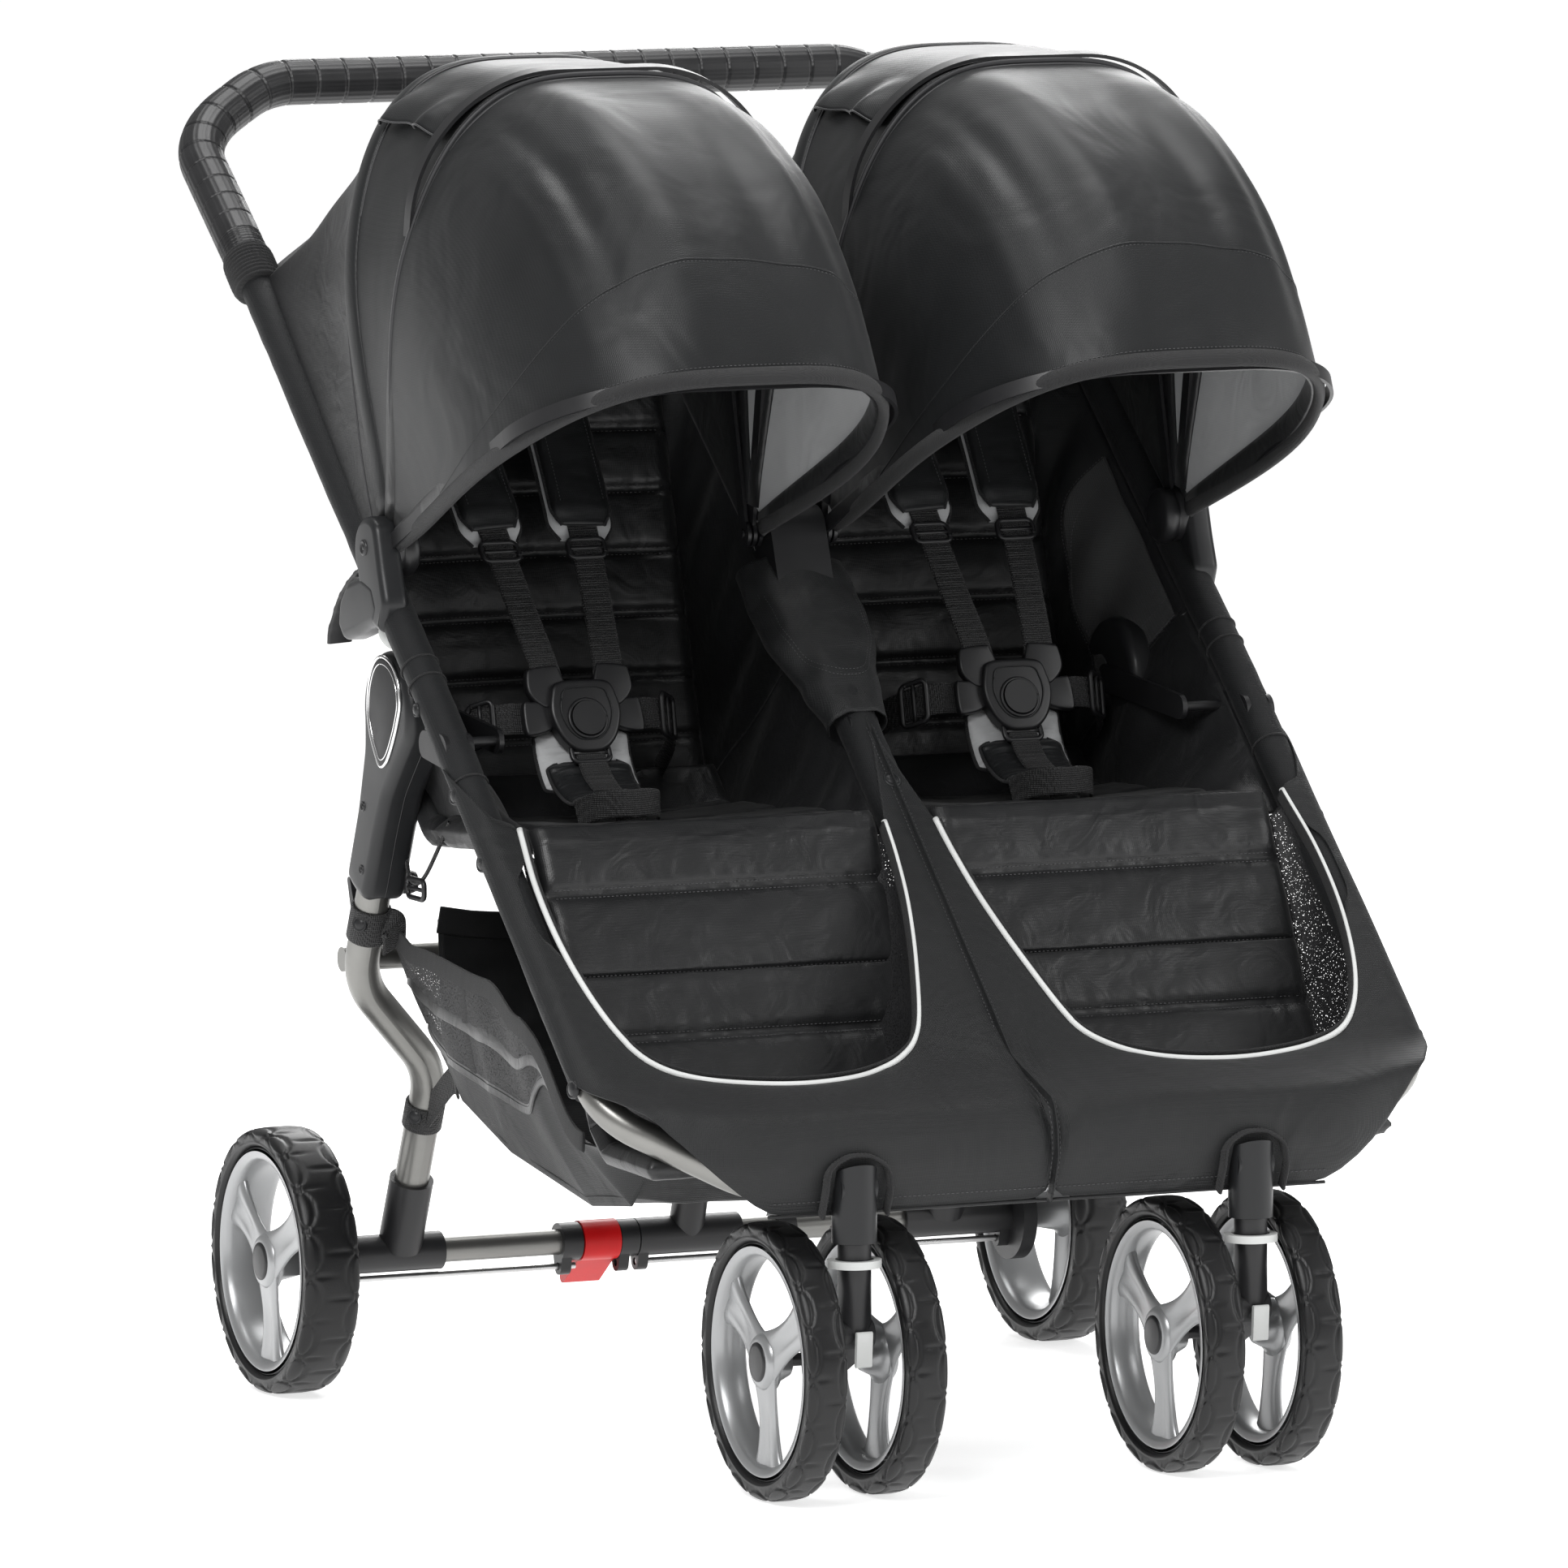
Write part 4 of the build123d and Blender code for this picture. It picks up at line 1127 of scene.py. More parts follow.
BACK_LOW, BACK_ANGLE = (132.0, 480.0), 74.0
for label, side in SIDES:
    back_body = f"backrest_{label}_body"

    def back_place(u, v, side=side):
        y, z = polar(*BACK_LOW, BACK_ANGLE, mix(4, 430, u))
        hollow = 14 * (1 - (2 * v - 1) ** 2)
        return at(seat_x(side, 34, 290, v), y + hollow, z)
    channels = [k / 8.4 for k in range(1, 9)]
    pad = quilt(f"seat_back_{label}", back_place, 150, 60, channels, SEAT_CLOTH, back_body, depth=0.0055,
                thick=0.020)
    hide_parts(f"backrest_{label}")
    channel_stitches(f"seat_back_stitch_{label}", back_place, channels, 0.006, -0.0060, back_body)

    # Seat base with its front roll, and the calf rest that hangs from it.
    def base_place(u, v, side=side):
        y, z = lookup(((0.0, -166, 491), (0.84, 92, 476), (1.0, 128, 508)), u)
        z -= 8 * (1 - (2 * v - 1) ** 2) * smooth(u * 2) * smooth((1 - u) * 6)
        return at(seat_x(side, 30, 300, v), y, z)
    seat = quilt(f"seat_base_{label}", base_place, 70, 60, [0.22, 0.45, 0.68], SEAT_CLOTH, "front_frame",
                 depth=0.005, thick=0.022)
    if side < 0:
        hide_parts("seat_bases")

    def calf_line(u, v, side=side):
        y, z = lookup(((0.0, -164, 500), (0.08, -174, 488), (0.42, -226, 388), (0.78, -284, 280),
                       (0.86, -306, 264), (1.0, -398, 262)), u)
        return at(seat_x(side, 24, 316, v), y, z)
    calf_channels = [0.22, 0.40, 0.58, 0.76]
    calf = quilt(f"calf_rest_{label}", calf_line, 130, 60, calf_channels, SEAT_CLOTH, "front_frame",
                 depth=0.006,
                 thick=0.017, edge=0.03)
    if side < 0:
        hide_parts("calf_rests")
    channel_stitches(f"calf_stitch_{label}", calf_line, calf_channels, 0.007, 0.0044, "front_frame")

    # Gathered cloth from the tubes to the seat and the backrest's edges.
    def tube_line(v, top):
        """A place on the tubes' inner side: up the front tube to the fold, then up the upper tube."""
        if v < 0.28:
            return front(mix(128, 0, v / 0.28), 10)
        return upper(mix(0, top, (v - 0.28) / 0.72), 10)

    def seat_line(v):
        """The seat's edge from its front to the bight, then the backrest's edge."""
        if v < 0.42:
            return mix(-172, 128, v / 0.42), mix(492, 484, v / 0.42)
        return polar(*BACK_LOW, BACK_ANGLE, mix(4, 428, (v - 0.42) / 0.58))

    def gather(start, end, u, v, out):
        folds = math.sin(v * 58 + 5 * u) * 0.0026 + math.sin(v * 23 + 2) * 0.0034
        belly = math.sin(math.pi * u)
        return start.lerp(end, u) + Vector((out * 0.012 + folds, 0, -0.004)) * belly

    def wing(u, v, side=side):
        ty, tz = tube_line(v, 500)
        ey, ez = seat_line(v)
        return gather(at(side * (TUBE_X - 10), ty, tz), at(side * 286, ey, ez), u, v, -side)

    def inner_wing(u, v, side=side):
        ty, tz = tube_line(min(v, 0.62), 420)
        if v > 0.62:
            part = (v - 0.62) / 0.38
            ty, tz = mix(ty, 262, part), mix(tz, 900, part)
        ey, ez = seat_line(v)
        return gather(at(side * 8, ty, tz), at(side * 36, ey, ez), u, v, 0)

    # Each is cut at the bight into a low part and a high part; both are baked in place and ride on no body.
    for name, place, x_tube, x_seat in (("outer", wing, 334, 288), ("inner", inner_wing, 10, 34)):
        low = cloth_grid(f"seat_side_{name}_low_{label}", lambda u, v: place(u, 0.43 * v), 24, 70,
                         SEAT_CLOTH, None, thick=0.0014, side=0)
        fold_blend(low, side * x_tube, 60)
        high = cloth_grid(f"seat_side_{name}_high_{label}", lambda u, v: place(u, 0.42 + 0.58 * v),
                          24, 90, SEAT_CLOTH, None, thick=0.0014, side=0)
        recline_blend(high)
        if side < 0 and name == "outer":
            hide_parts("side_panels")

    # A rounded, double-stitched patch on the outer side.
    def patch_place(u, v, side=side, wing=wing):
        a = math.pi * v
        reach = 0.06 + 0.59 * u * max(0.0, math.sin(a)) ** 0.5
        return wing(reach, 0.56 - 0.128 * math.cos(a)) + Vector((-side * 0.0012, -0.0009, 0.0004))
    patch_cloth = cloth_grid(f"wing_patch_{label}", patch_place, 16, 48, PATCH, None, thick=0.0008, side=0)
    recline_blend(patch_cloth)
    for row, inset in enumerate((0.0, 0.03)):
        patch = []
        for i in range(100):
            a = math.pi * i / 99
            v = 0.56 - (0.13 - inset) * math.cos(a)
            u = 0.06 + (0.60 - inset) * max(0.0, math.sin(a)) ** 0.5
            patch.append(wing(u, v) + Vector((-side * 0.0016, -0.0012, 0.0006)))
        line = stitches(f"wing_patch_stitch_{label}_{row}", patch, None, 3.2, 2.2, 0.32)
        recline_blend(line)


# ---------------------------------------------------------------- harness
def plate(name, outline, depth, place, material, body, bevel=0.0015, steps=3):
    """A prism with rounded edges: an outline of (across, up) in millimetres, placed by place(p, q, out)."""
    count = len(outline)
    rings = []
    for part in range(steps + 1):
        a = math.pi / 2 * part / steps
        rings.append((bevel * 1000 * (1 - math.sin(a)), -depth / 2 + bevel * 1000 * (1 - math.cos(a))))
    rings += [(inset, -out) for inset, out in reversed(rings)]
    middle = Vector((sum(p[0] for p in outline) / count, sum(p[1] for p in outline) / count))
    verts = []
    for inset, out in rings:
        for i, p in enumerate(outline):
            before, after = Vector(outline[i - 1]), Vector(outline[(i + 1) % count])
            edge = (after - before).normalized()
            normal = Vector((edge.y, -edge.x))
            if normal.dot(Vector(p) - middle) < 0:
                normal = -normal
            q = Vector(p) - normal * inset
            verts.append(place(q.x, q.y, out))
    faces = grid_faces(len(rings), count, wrap_columns=True)
    faces.append(tuple(range(count))[::-1])
    faces.append(tuple(range((len(rings) - 1) * count, len(rings) * count)))
    return build(name, verts, faces, material, body)


def smooth_outline(points, count):
    """A closed smooth outline through some points."""
    pts = [Vector((p[0], p[1], 0)) for p in points]
    line = curve_through(pts[-2:] + pts + pts[:3], count * 3)
    # One full turn, starting from the first point.
    start = min(range(len(line)), key=lambda i: (line[i] - pts[0]).length if i < len(line) // 2 else 9e9)
    stop = min(range(len(line)), key=lambda i: (line[i] - pts[0]).length if i >= len(line) // 2 else 9e9)
    turn = even(line[start:stop + 1], count + 1)[:-1]
    return [(p.x, p.y) for p in turn]


def even_outline(points, count):
    """A closed outline of straight runs, resampled at even steps and softened a little."""
    pts = [Vector((p[0], p[1], 0)) for p in points]
    ring = even(pts + pts[:1], count + 1)[:-1]
    for _ in range(2):
        ring = [(ring[i - 1] + ring[i] * 2 + ring[(i + 1) % count]) / 4 for i in range(count)]
    return [(p.x, p.y) for p in ring]


def round_box(width, height, radius):
    """A rounded rectangle's outline."""
    half_width, half_height = width / 2 - radius, height / 2 - radius
    out = []
    for right_left, up_down, first in ((1, 1, 0), (-1, 1, 90), (-1, -1, 180), (1, -1, 270)):
        for k in range(6):
            a = math.radians(first + 90 * k / 5)
            out.append((right_left * half_width + radius * math.cos(a),
                        up_down * half_height + radius * math.sin(a)))
    return out


BUCKLE = (26.0, 567.0)
BUCKLE_TILT = math.radians(22.0)


def buckle_place(cx, back=0.0):
    """Local (across, up, out towards the child) about a buckle's middle to a place."""
    def put_at(a, b, out):
        y = back - out
        c, s = math.cos(-BUCKLE_TILT), math.sin(-BUCKLE_TILT)
        return at(cx + a, BUCKLE[0] + y * c - b * s, BUCKLE[1] + y * s + b * c)
    return put_at


def tri_glide(name, centre, across, along, body, width, height):
    """A strap adjuster: a rounded frame with a middle bar."""
    across, along = Vector(across).normalized(), Vector(along).normalized()
    outline = round_box(width, height, 5)
    loop = [centre + across * (a / 1000) + along * (b / 1000) for a, b in outline]
    loop += loop[:2]
    cord_tube(name, loop, 0.0022, PLASTIC, body, 10, hint=tuple(across.cross(along)))
    bar = [centre + across * (-width / 2000) * t for t in (1, 0.33, -0.33, -1)]
    cord_tube(name + "_bar", bar, 0.0018, PLASTIC, body, 10, hint=tuple(along))


def ribbed(name, path, width, body, hint, fixed=True):
    """Webbing: a flat strap with fine ribs across it and turned edges."""
    thick = 0.0017
    half = width / 2
    section = []
    for i in range(13):
        a = -half + width * i / 12
        section.append((a, thick / 2 * (1.0 if i % 12 else 0.5) + (0.00018 if i % 2 else 0)))
    section += [(a, -b) for a, b in reversed(section)]
    count = max(20, int(length_of(path) * 1000 / 0.9))
    dense = even(path, count)

    def rib(t):
        return (1.0, 1.0 + 0.16 * math.sin(t * count * 2.1))
    return sweep(name, dense, section, WEBBING, body, hint=hint, scale=rib, fixed=fixed)


def soft_pad(name, path, width, thick, material, body):
    """A stuffed pad along a path: two halves, a bound edge, and puckers near its seams."""
    rows, columns = 70, 36
    line = even(path, rows)
    placed = frames_along(line, ACROSS)
    verts = []
    for i, (p, ahead, side, up) in enumerate(placed):
        u = i / (rows - 1)
        end = smooth(min(u, 1 - u) / 0.10)
        half = width / 2 * (0.72 + 0.28 * end ** 0.6)
        for j in range(columns):
            a = 2 * math.pi * j / columns
            c, s = math.cos(a), math.sin(a)
            across = math.copysign(abs(c) ** 0.62, c) * half
            rise = math.copysign(abs(s) ** 0.8, s) * thick / 2 * (0.25 + 0.75 * end)
            pucker = noise.noise(Vector((u * 30, c * 4, s * 3 + width * 90))) * 0.0009
            pucker += noise.noise(Vector((u * 9, c * 2, s * 2 + 7))) * 0.0016
            rise += pucker * (1 if s > 0 else -1) * end * abs(s) ** 0.5
            verts.append(p + side * across + up * rise)
    faces = grid_faces(rows, columns, wrap_columns=True)
    faces.append(tuple(range(columns))[::-1])
    faces.append(tuple(range((rows - 1) * columns, rows * columns)))
    obj = build(name, verts, faces, material, body)
    border = [p + side * width / 2 * (0.72 + 0.28 * smooth(min(i, rows - 1 - i) / (rows * 0.10)) ** 0.6)
              for i, (p, ahead, side, up) in enumerate(placed)]
    other = [p - (q - p) for (p, ahead, side, up), q in zip(placed, border)]
    for k, edge in enumerate((border, other)):
        cord_tube(f"{name}_edge_{k}", edge, 0.0016, BINDING, body, 8)
    return obj


for label, side in SIDES:
    cx = side * CANOPY_X
    back_body = f"backrest_{label}_body"
    local = buckle_place(cx)
    for k, lean in ((0, -1), (1, 1)):
        whole = curve_through([at(cx + lean * 42, 243, 872), at(cx + lean * 43, 206, 822),
                               at(cx + lean * 42, 160, 762),
                               at(cx + lean * 38, 112, 700), at(cx + lean * 33, 76, 652),
                               at(cx + lean * 28, 46, 612),
                               at(cx + lean * 26, 38, 597)], 120)
        # Its low end lies at the buckle and its high end up by the backrest; it is baked in place and rides
        # on no body.
        strap = ribbed(f"shoulder_web_{label}_{k}", whole[8:], 0.025, None, (1, 0, 0))
        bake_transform(strap)
        covered = [p + Vector((0, -0.0026, 0.0016)) for p in whole[14:72]]
        pad = soft_pad(f"shoulder_pad_{label}_{k}", covered, 0.050, 0.015, SATIN, back_body)
        under = [p + Vector((0, 0.0036, -0.0022)) for p in whole[16:76]]
        soft_pad(f"shoulder_pad_lining_{label}_{k}", under, 0.054, 0.009, LINING, back_body)
        if k == 0:
            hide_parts(f"shoulder_harness_{label}")
        for row in (-1, 1):
            line = [p + Vector((row * 0.0185, -0.0066, 0.0050)) for p in covered[6:-6]]
            stitches(f"shoulder_pad_stitch_{label}_{k}_{row}", line, back_body, 3.4, 2.2, 0.3)
        # Where the strap doubles back: a slide on the webbing, and the slot patch behind the pad.
        tri_glide(f"shoulder_slide_{label}_{k}", whole[78], (1, 0, 0), whole[81] - whole[75], back_body, 31,
                  17)
        block(f"shoulder_slot_{label}_{k}", (cx + lean * 42, 240, 858), (44, 4, 26), SEAT_CLOTH, back_body,
              -16, 1.5)

    # Buckle: a shield with a raised ring round its button, and the two strap ends clipped into it.
    shield = smooth_outline([(-28, 16), (-22, 27), (0, 29), (22, 27), (28, 16), (30, 0), (24, -18),
                             (13, -29), (0, -31),
                             (-13, -29), (-24, -18), (-30, 0)], 72)
    shield_plate = plate(f"buckle_shield_{label}", shield, 15, local, PLASTIC, "front_frame", 0.0035, 5)
    if side < 0:
        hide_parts("buckles")
    turns = [2 * math.pi * i / 48 for i in range(50)]
    ring = [local(15.6 * math.cos(a), -4 + 15.6 * math.sin(a), 7.6) for a in turns]
    cord_tube(f"buckle_ring_{label}", ring, 0.0016, PLASTIC, "front_frame", 10, hint=(0, 1, 0))
    groove = [local(0.72 * a, 0.72 * b + 1, 7.9) for a, b in shield + shield[:1]]
    cord_tube(f"buckle_line_{label}", groove, 0.0006, COVER_PLASTIC, "front_frame", 6, hint=(0, 1, 0))
    for lean in (-1, 1):
        arm_outline = [(lean * a, b) for a, b in ((12, 20), (16, 40), (20, 43), (40, 41), (44, 37), (45, 22),
                                                  (38, 12), (28, 8))]
        plate(f"buckle_clip_{label}_{lean}", smooth_outline(arm_outline, 48), 9, buckle_place(cx, 2), PLASTIC,
              "front_frame", 0.0025, 4)
        side_clip = [(lean * a, b) for a, b in ((26, 10), (44, 14), (50, 12), (51, -10), (46, -14), (27, -8))]
        plate(f"buckle_side_{label}_{lean}", smooth_outline(side_clip, 40), 8, buckle_place(cx, 3), PLASTIC,
              "front_frame", 0.0022, 4)
        # Hip strap from the clip back to the seat corner, with its adjuster.
        hip = curve_through([at(cx + lean * 46, 34, 566), at(cx + lean * 62, 37, 566),
                             at(cx + lean * 84, 50, 560),
                             at(cx + lean * 102, 84, 540), at(cx + lean * 106, 128, 508)], 90)
        ribbed(f"hip_web_{label}_{lean}", hip, 0.025, "front_frame", (0, 0.3, 1), fixed=False)
        tri_glide(f"hip_slide_{label}_{lean}", hip[24] + Vector((0, -0.002, 0)), (0, 0.2, 1),
                  hip[27] - hip[21], "front_frame", 33, 22)

    # Crotch pad with its lining tongue and strap.
    crotch = curve_through([at(cx, 31, 558), at(cx, 24, 536), at(cx, 8, 516), at(cx, -16, 505),
                            at(cx, -40, 502)], 80)
    under = [p + Vector((0, 0.004, -0.003)) for p in crotch[:46]]
    tongue = soft_pad(f"crotch_lining_{label}", under, 0.080, 0.012, LINING, "front_frame")
    if side < 0:
        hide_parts("crotch_pads")
    over = [p + Vector((0, 0.001, 0.001)) for p in crotch[24:78]]
    soft_pad(f"crotch_pad_{label}", over, 0.070, 0.015, SATIN, "front_frame")
    web = [p + Vector((0, -0.009, 0.007)) for p in crotch[4:60]]
    ribbed(f"crotch_web_{label}", web, 0.025, "front_frame", (1, 0, 0))
    tri_glide(f"crotch_slide_{label}", web[18], (1, 0, 0), web[21] - web[15], "front_frame", 32, 15)
    # Fold strap handle lying on the seat.
    for lean in (-1, 1):
        loop = curve_through([at(cx + lean * 34, -40, 497), at(cx + lean * 26, -62, 505),
                              at(cx + lean * 4, -76, 508),
                              at(cx - lean * 14, -66, 503)], 50)
        ribbed(f"fold_strap_{label}_{lean}", loop, 0.022, "front_frame", (0, 0, 1), fixed=False)


# ---------------------------------------------------------------- basket
LEG_SLOPE = math.radians(25.0)
LEG_UP = Vector((0, -math.sin(LEG_SLOPE), math.cos(LEG_SLOPE)))
LEG_BACK = Vector((0, math.cos(LEG_SLOPE), math.sin(LEG_SLOPE)))


def leg_place(z):
    """Y and Z on the rear leg's line at a height."""
    return REAR_WHEEL_Y - (z - WHEEL_R) * math.tan(LEG_SLOPE), z


def basket_line(t):
    """The basket's section from its rear top edge, under the load, to its front top edge."""
    return lookup(((0.0, 172, 385), (0.22, 164, 284), (0.34, 128, 252), (0.50, 30, 222), (0.74, -130, 199),
                   (0.86, -206, 208), (1.0, -262, 262)), t)


def basket_side(u, v, side):
    """The basket's side: u from the floor edge up to the hem, v from the rear to the front."""
    y, z = basket_line(mix(0.24, 0.96, smooth(v) * 0.35 + v * 0.65))
    low = at(side * mix(252, 246, v), y, z)
    top_y = mix(166, -262, v)
    top_z = lookup(((0.0, 384), (0.10, 371), (0.40, 359), (0.62, 340), (1.0, 268)), v)[0]
    x = side * lookup(((0.0, 296), (0.4, 288), (0.7, 302), (1.0, 312)), v)[0]
    sag = math.sin(math.pi * u) * math.sin(math.pi * v)
    ripple = 0.0022 * math.sin(v * 31 + 2 * u) * math.sin(math.pi * u)
    return low.lerp(at(x, top_y, top_z), u) + Vector((side * (0.010 * sag + ripple), 0, 0))


# How far up the side the cloth reaches before the net window starts, from the rear to the front.
WINDOW_EDGE = ((0.0, 0.30), (0.5, 0.44), (0.8, 0.9), (1.0, 1.0))
for label, side in SIDES:
    def lower_side(u, v, side=side):
        return basket_side(mix(0.0, lookup(WINDOW_EDGE, v)[0], u), v, side)

    def window(u, v, side=side):
        return basket_side(mix(lookup(WINDOW_EDGE, v * 0.8)[0], 1.0, u), v * 0.8, side)
    cloth = cloth_grid(f"basket_side_{label}", lower_side, 24, 90, BOOT, "front_frame", thick=0.0014)
    wall = cloth_grid(f"basket_net_{label}", window, 20, 80, MESH, "front_frame", thick=0.0006)
    hem = [basket_side(1.0, i / 59, side) for i in range(60)]
    sweep(f"basket_hem_{label}", hem, flat_section(0.016, 0.0022), BINDING, "front_frame")
    for name, height in (("middle", 0.0), ("band", 0.52)):
        line = [window(height, i / 59) for i in range(60)]
        sweep(f"basket_{name}_tape_{label}", line, flat_section(0.014, 0.0022), SEAT_CLOTH, "front_frame")
    for k, share in enumerate((0.012, 0.30)):
        post = [basket_side(mix(0.3, 1.0, i / 19), share, side) for i in range(20)]
        sweep(f"basket_post_{label}_{k}", post, flat_section(0.012, 0.002), BINDING, "front_frame",
              hint=(0, 1, 0))
    # The basket's lower strap back to the leg.
    low_hang = curve_through([at(side * 243, leg_place(226)[0] - 12, 228), at(side * 246, 168, 262),
                              at(side * 252, 140, 262)], 24)
    ribbed(f"basket_low_strap_{label}", low_hang, 0.022, "rear_frame", (0, 0.5, 1))


def basket_floor(u, v):
    y, z = basket_line(u)
    x = mix(-254, 254, v)
    edge = 8 * (2 * v - 1) ** 8
    sag = -3.5 * math.sin(math.pi * min(1, max(0, (u - 0.3) / 0.5))) * (1 - (2 * v - 1) ** 2)
    ripple = 0.0016 * noise.noise(Vector((u * 12, v * 16, 4.0)))
    return at(x, y, z + edge + sag) + Vector((0, 0, ripple))


floor_cloth = cloth_grid("basket_floor", basket_floor, 80, 90, BOOT, "front_frame", thick=0.0016)
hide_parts("storage_basket")
rear_hem = [basket_floor(0.0, i / 59) + Vector((0, -0.001, 0)) for i in range(60)]
sweep("basket_rear_hem", rear_hem, flat_section(0.022, 0.0024), BINDING, "front_frame")
front_hem = [basket_floor(1.0, i / 59) for i in range(60)]
sweep("basket_front_hem", front_hem, flat_section(0.020, 0.0024), BINDING, "front_frame")
for u in (0.235, 0.345):
    stitches(f"basket_seam_{u}", [basket_floor(u, i / 79) + Vector((0, 0.0014, -0.0014)) for i in range(80)],
             "front_frame", 4.0, 2.6, 0.35)


# ---------------------------------------------------------------- rear leg straps and knobs
for label, side in SIDES:
    for k, (z, x, tall) in enumerate(((396, 319, 0.030), (228, 241, 0.022))):
        y, _ = leg_place(z)
        ring = hoop(at(side * x, y, z), ACROSS, LEG_BACK, 0.0154)
        sweep(f"leg_strap_{label}_{k}", ring, flat_section(tall, 0.0018), WEBBING, "rear_frame", hint=LEG_UP,
              caps=False)
        snap(f"leg_strap_stud_{label}_{k}", side * (x + 12), y - 11, z, (side, -0.9, 0.1), "rear_frame", 6.5)
    # The basket's hanging strap, from its rear corner back to the leg.
    y, z = leg_place(396)
    hang = curve_through([at(side * 312, y - 13, z), at(side * 305, y - 18, z - 2),
                          at(side * 298, 158, 374)], 24)
    ribbed(f"basket_hanger_{label}", hang, 0.024, "rear_frame", (0, 0.3, 1), fixed=False)
    # A turning knob on the leg.
    knob = [(0.1, 13), (5, 13), (8.0, 12), (9.2, 9), (9.4, 2), (8.6, 0), (5, -1), (4, -7)]
    lathe(f"leg_knob_{label}", knob, at(side * 297, *leg_place(428)), PLASTIC, "rear_frame", steps=40)


# ---------------------------------------------------------------- hinge housings, blank badges and screws
LEG_HINGE = (85, 571)            # the rear legs' hinge, its y and z


def in_side_view(side, x_middle):
    """Local (back, up, out) in the side view to a place, out away from the stroller's middle."""
    def put_at(a, b, out):
        return at(side * (x_middle + out), a, b)
    return put_at


def facing(centre, normal, upward):
    """Local (across, up, out) about a point, out along a direction."""
    out_dir = Vector(normal).normalized()
    across_dir = Vector(upward).cross(out_dir).normalized()
    up_dir = out_dir.cross(across_dir)

    def put_at(a, b, out):
        return centre + across_dir * (a / 1000) + up_dir * (b / 1000) + out_dir * (out / 1000)
    return put_at


def arc(y, z, radius, first, last, steps):
    """Places at even steps round an arc, between two angles."""
    return [polar(y, z, mix(first, last, i / steps), radius) for i in range(steps + 1)]


def leg_aligned(across, down):
    """A point on the housing: down along the leg and across it, from the leg's hinge."""
    c, s = math.cos(LEG_SLOPE), math.sin(LEG_SLOPE)
    return LEG_HINGE[0] + across * c + down * s, LEG_HINGE[1] + across * s - down * c


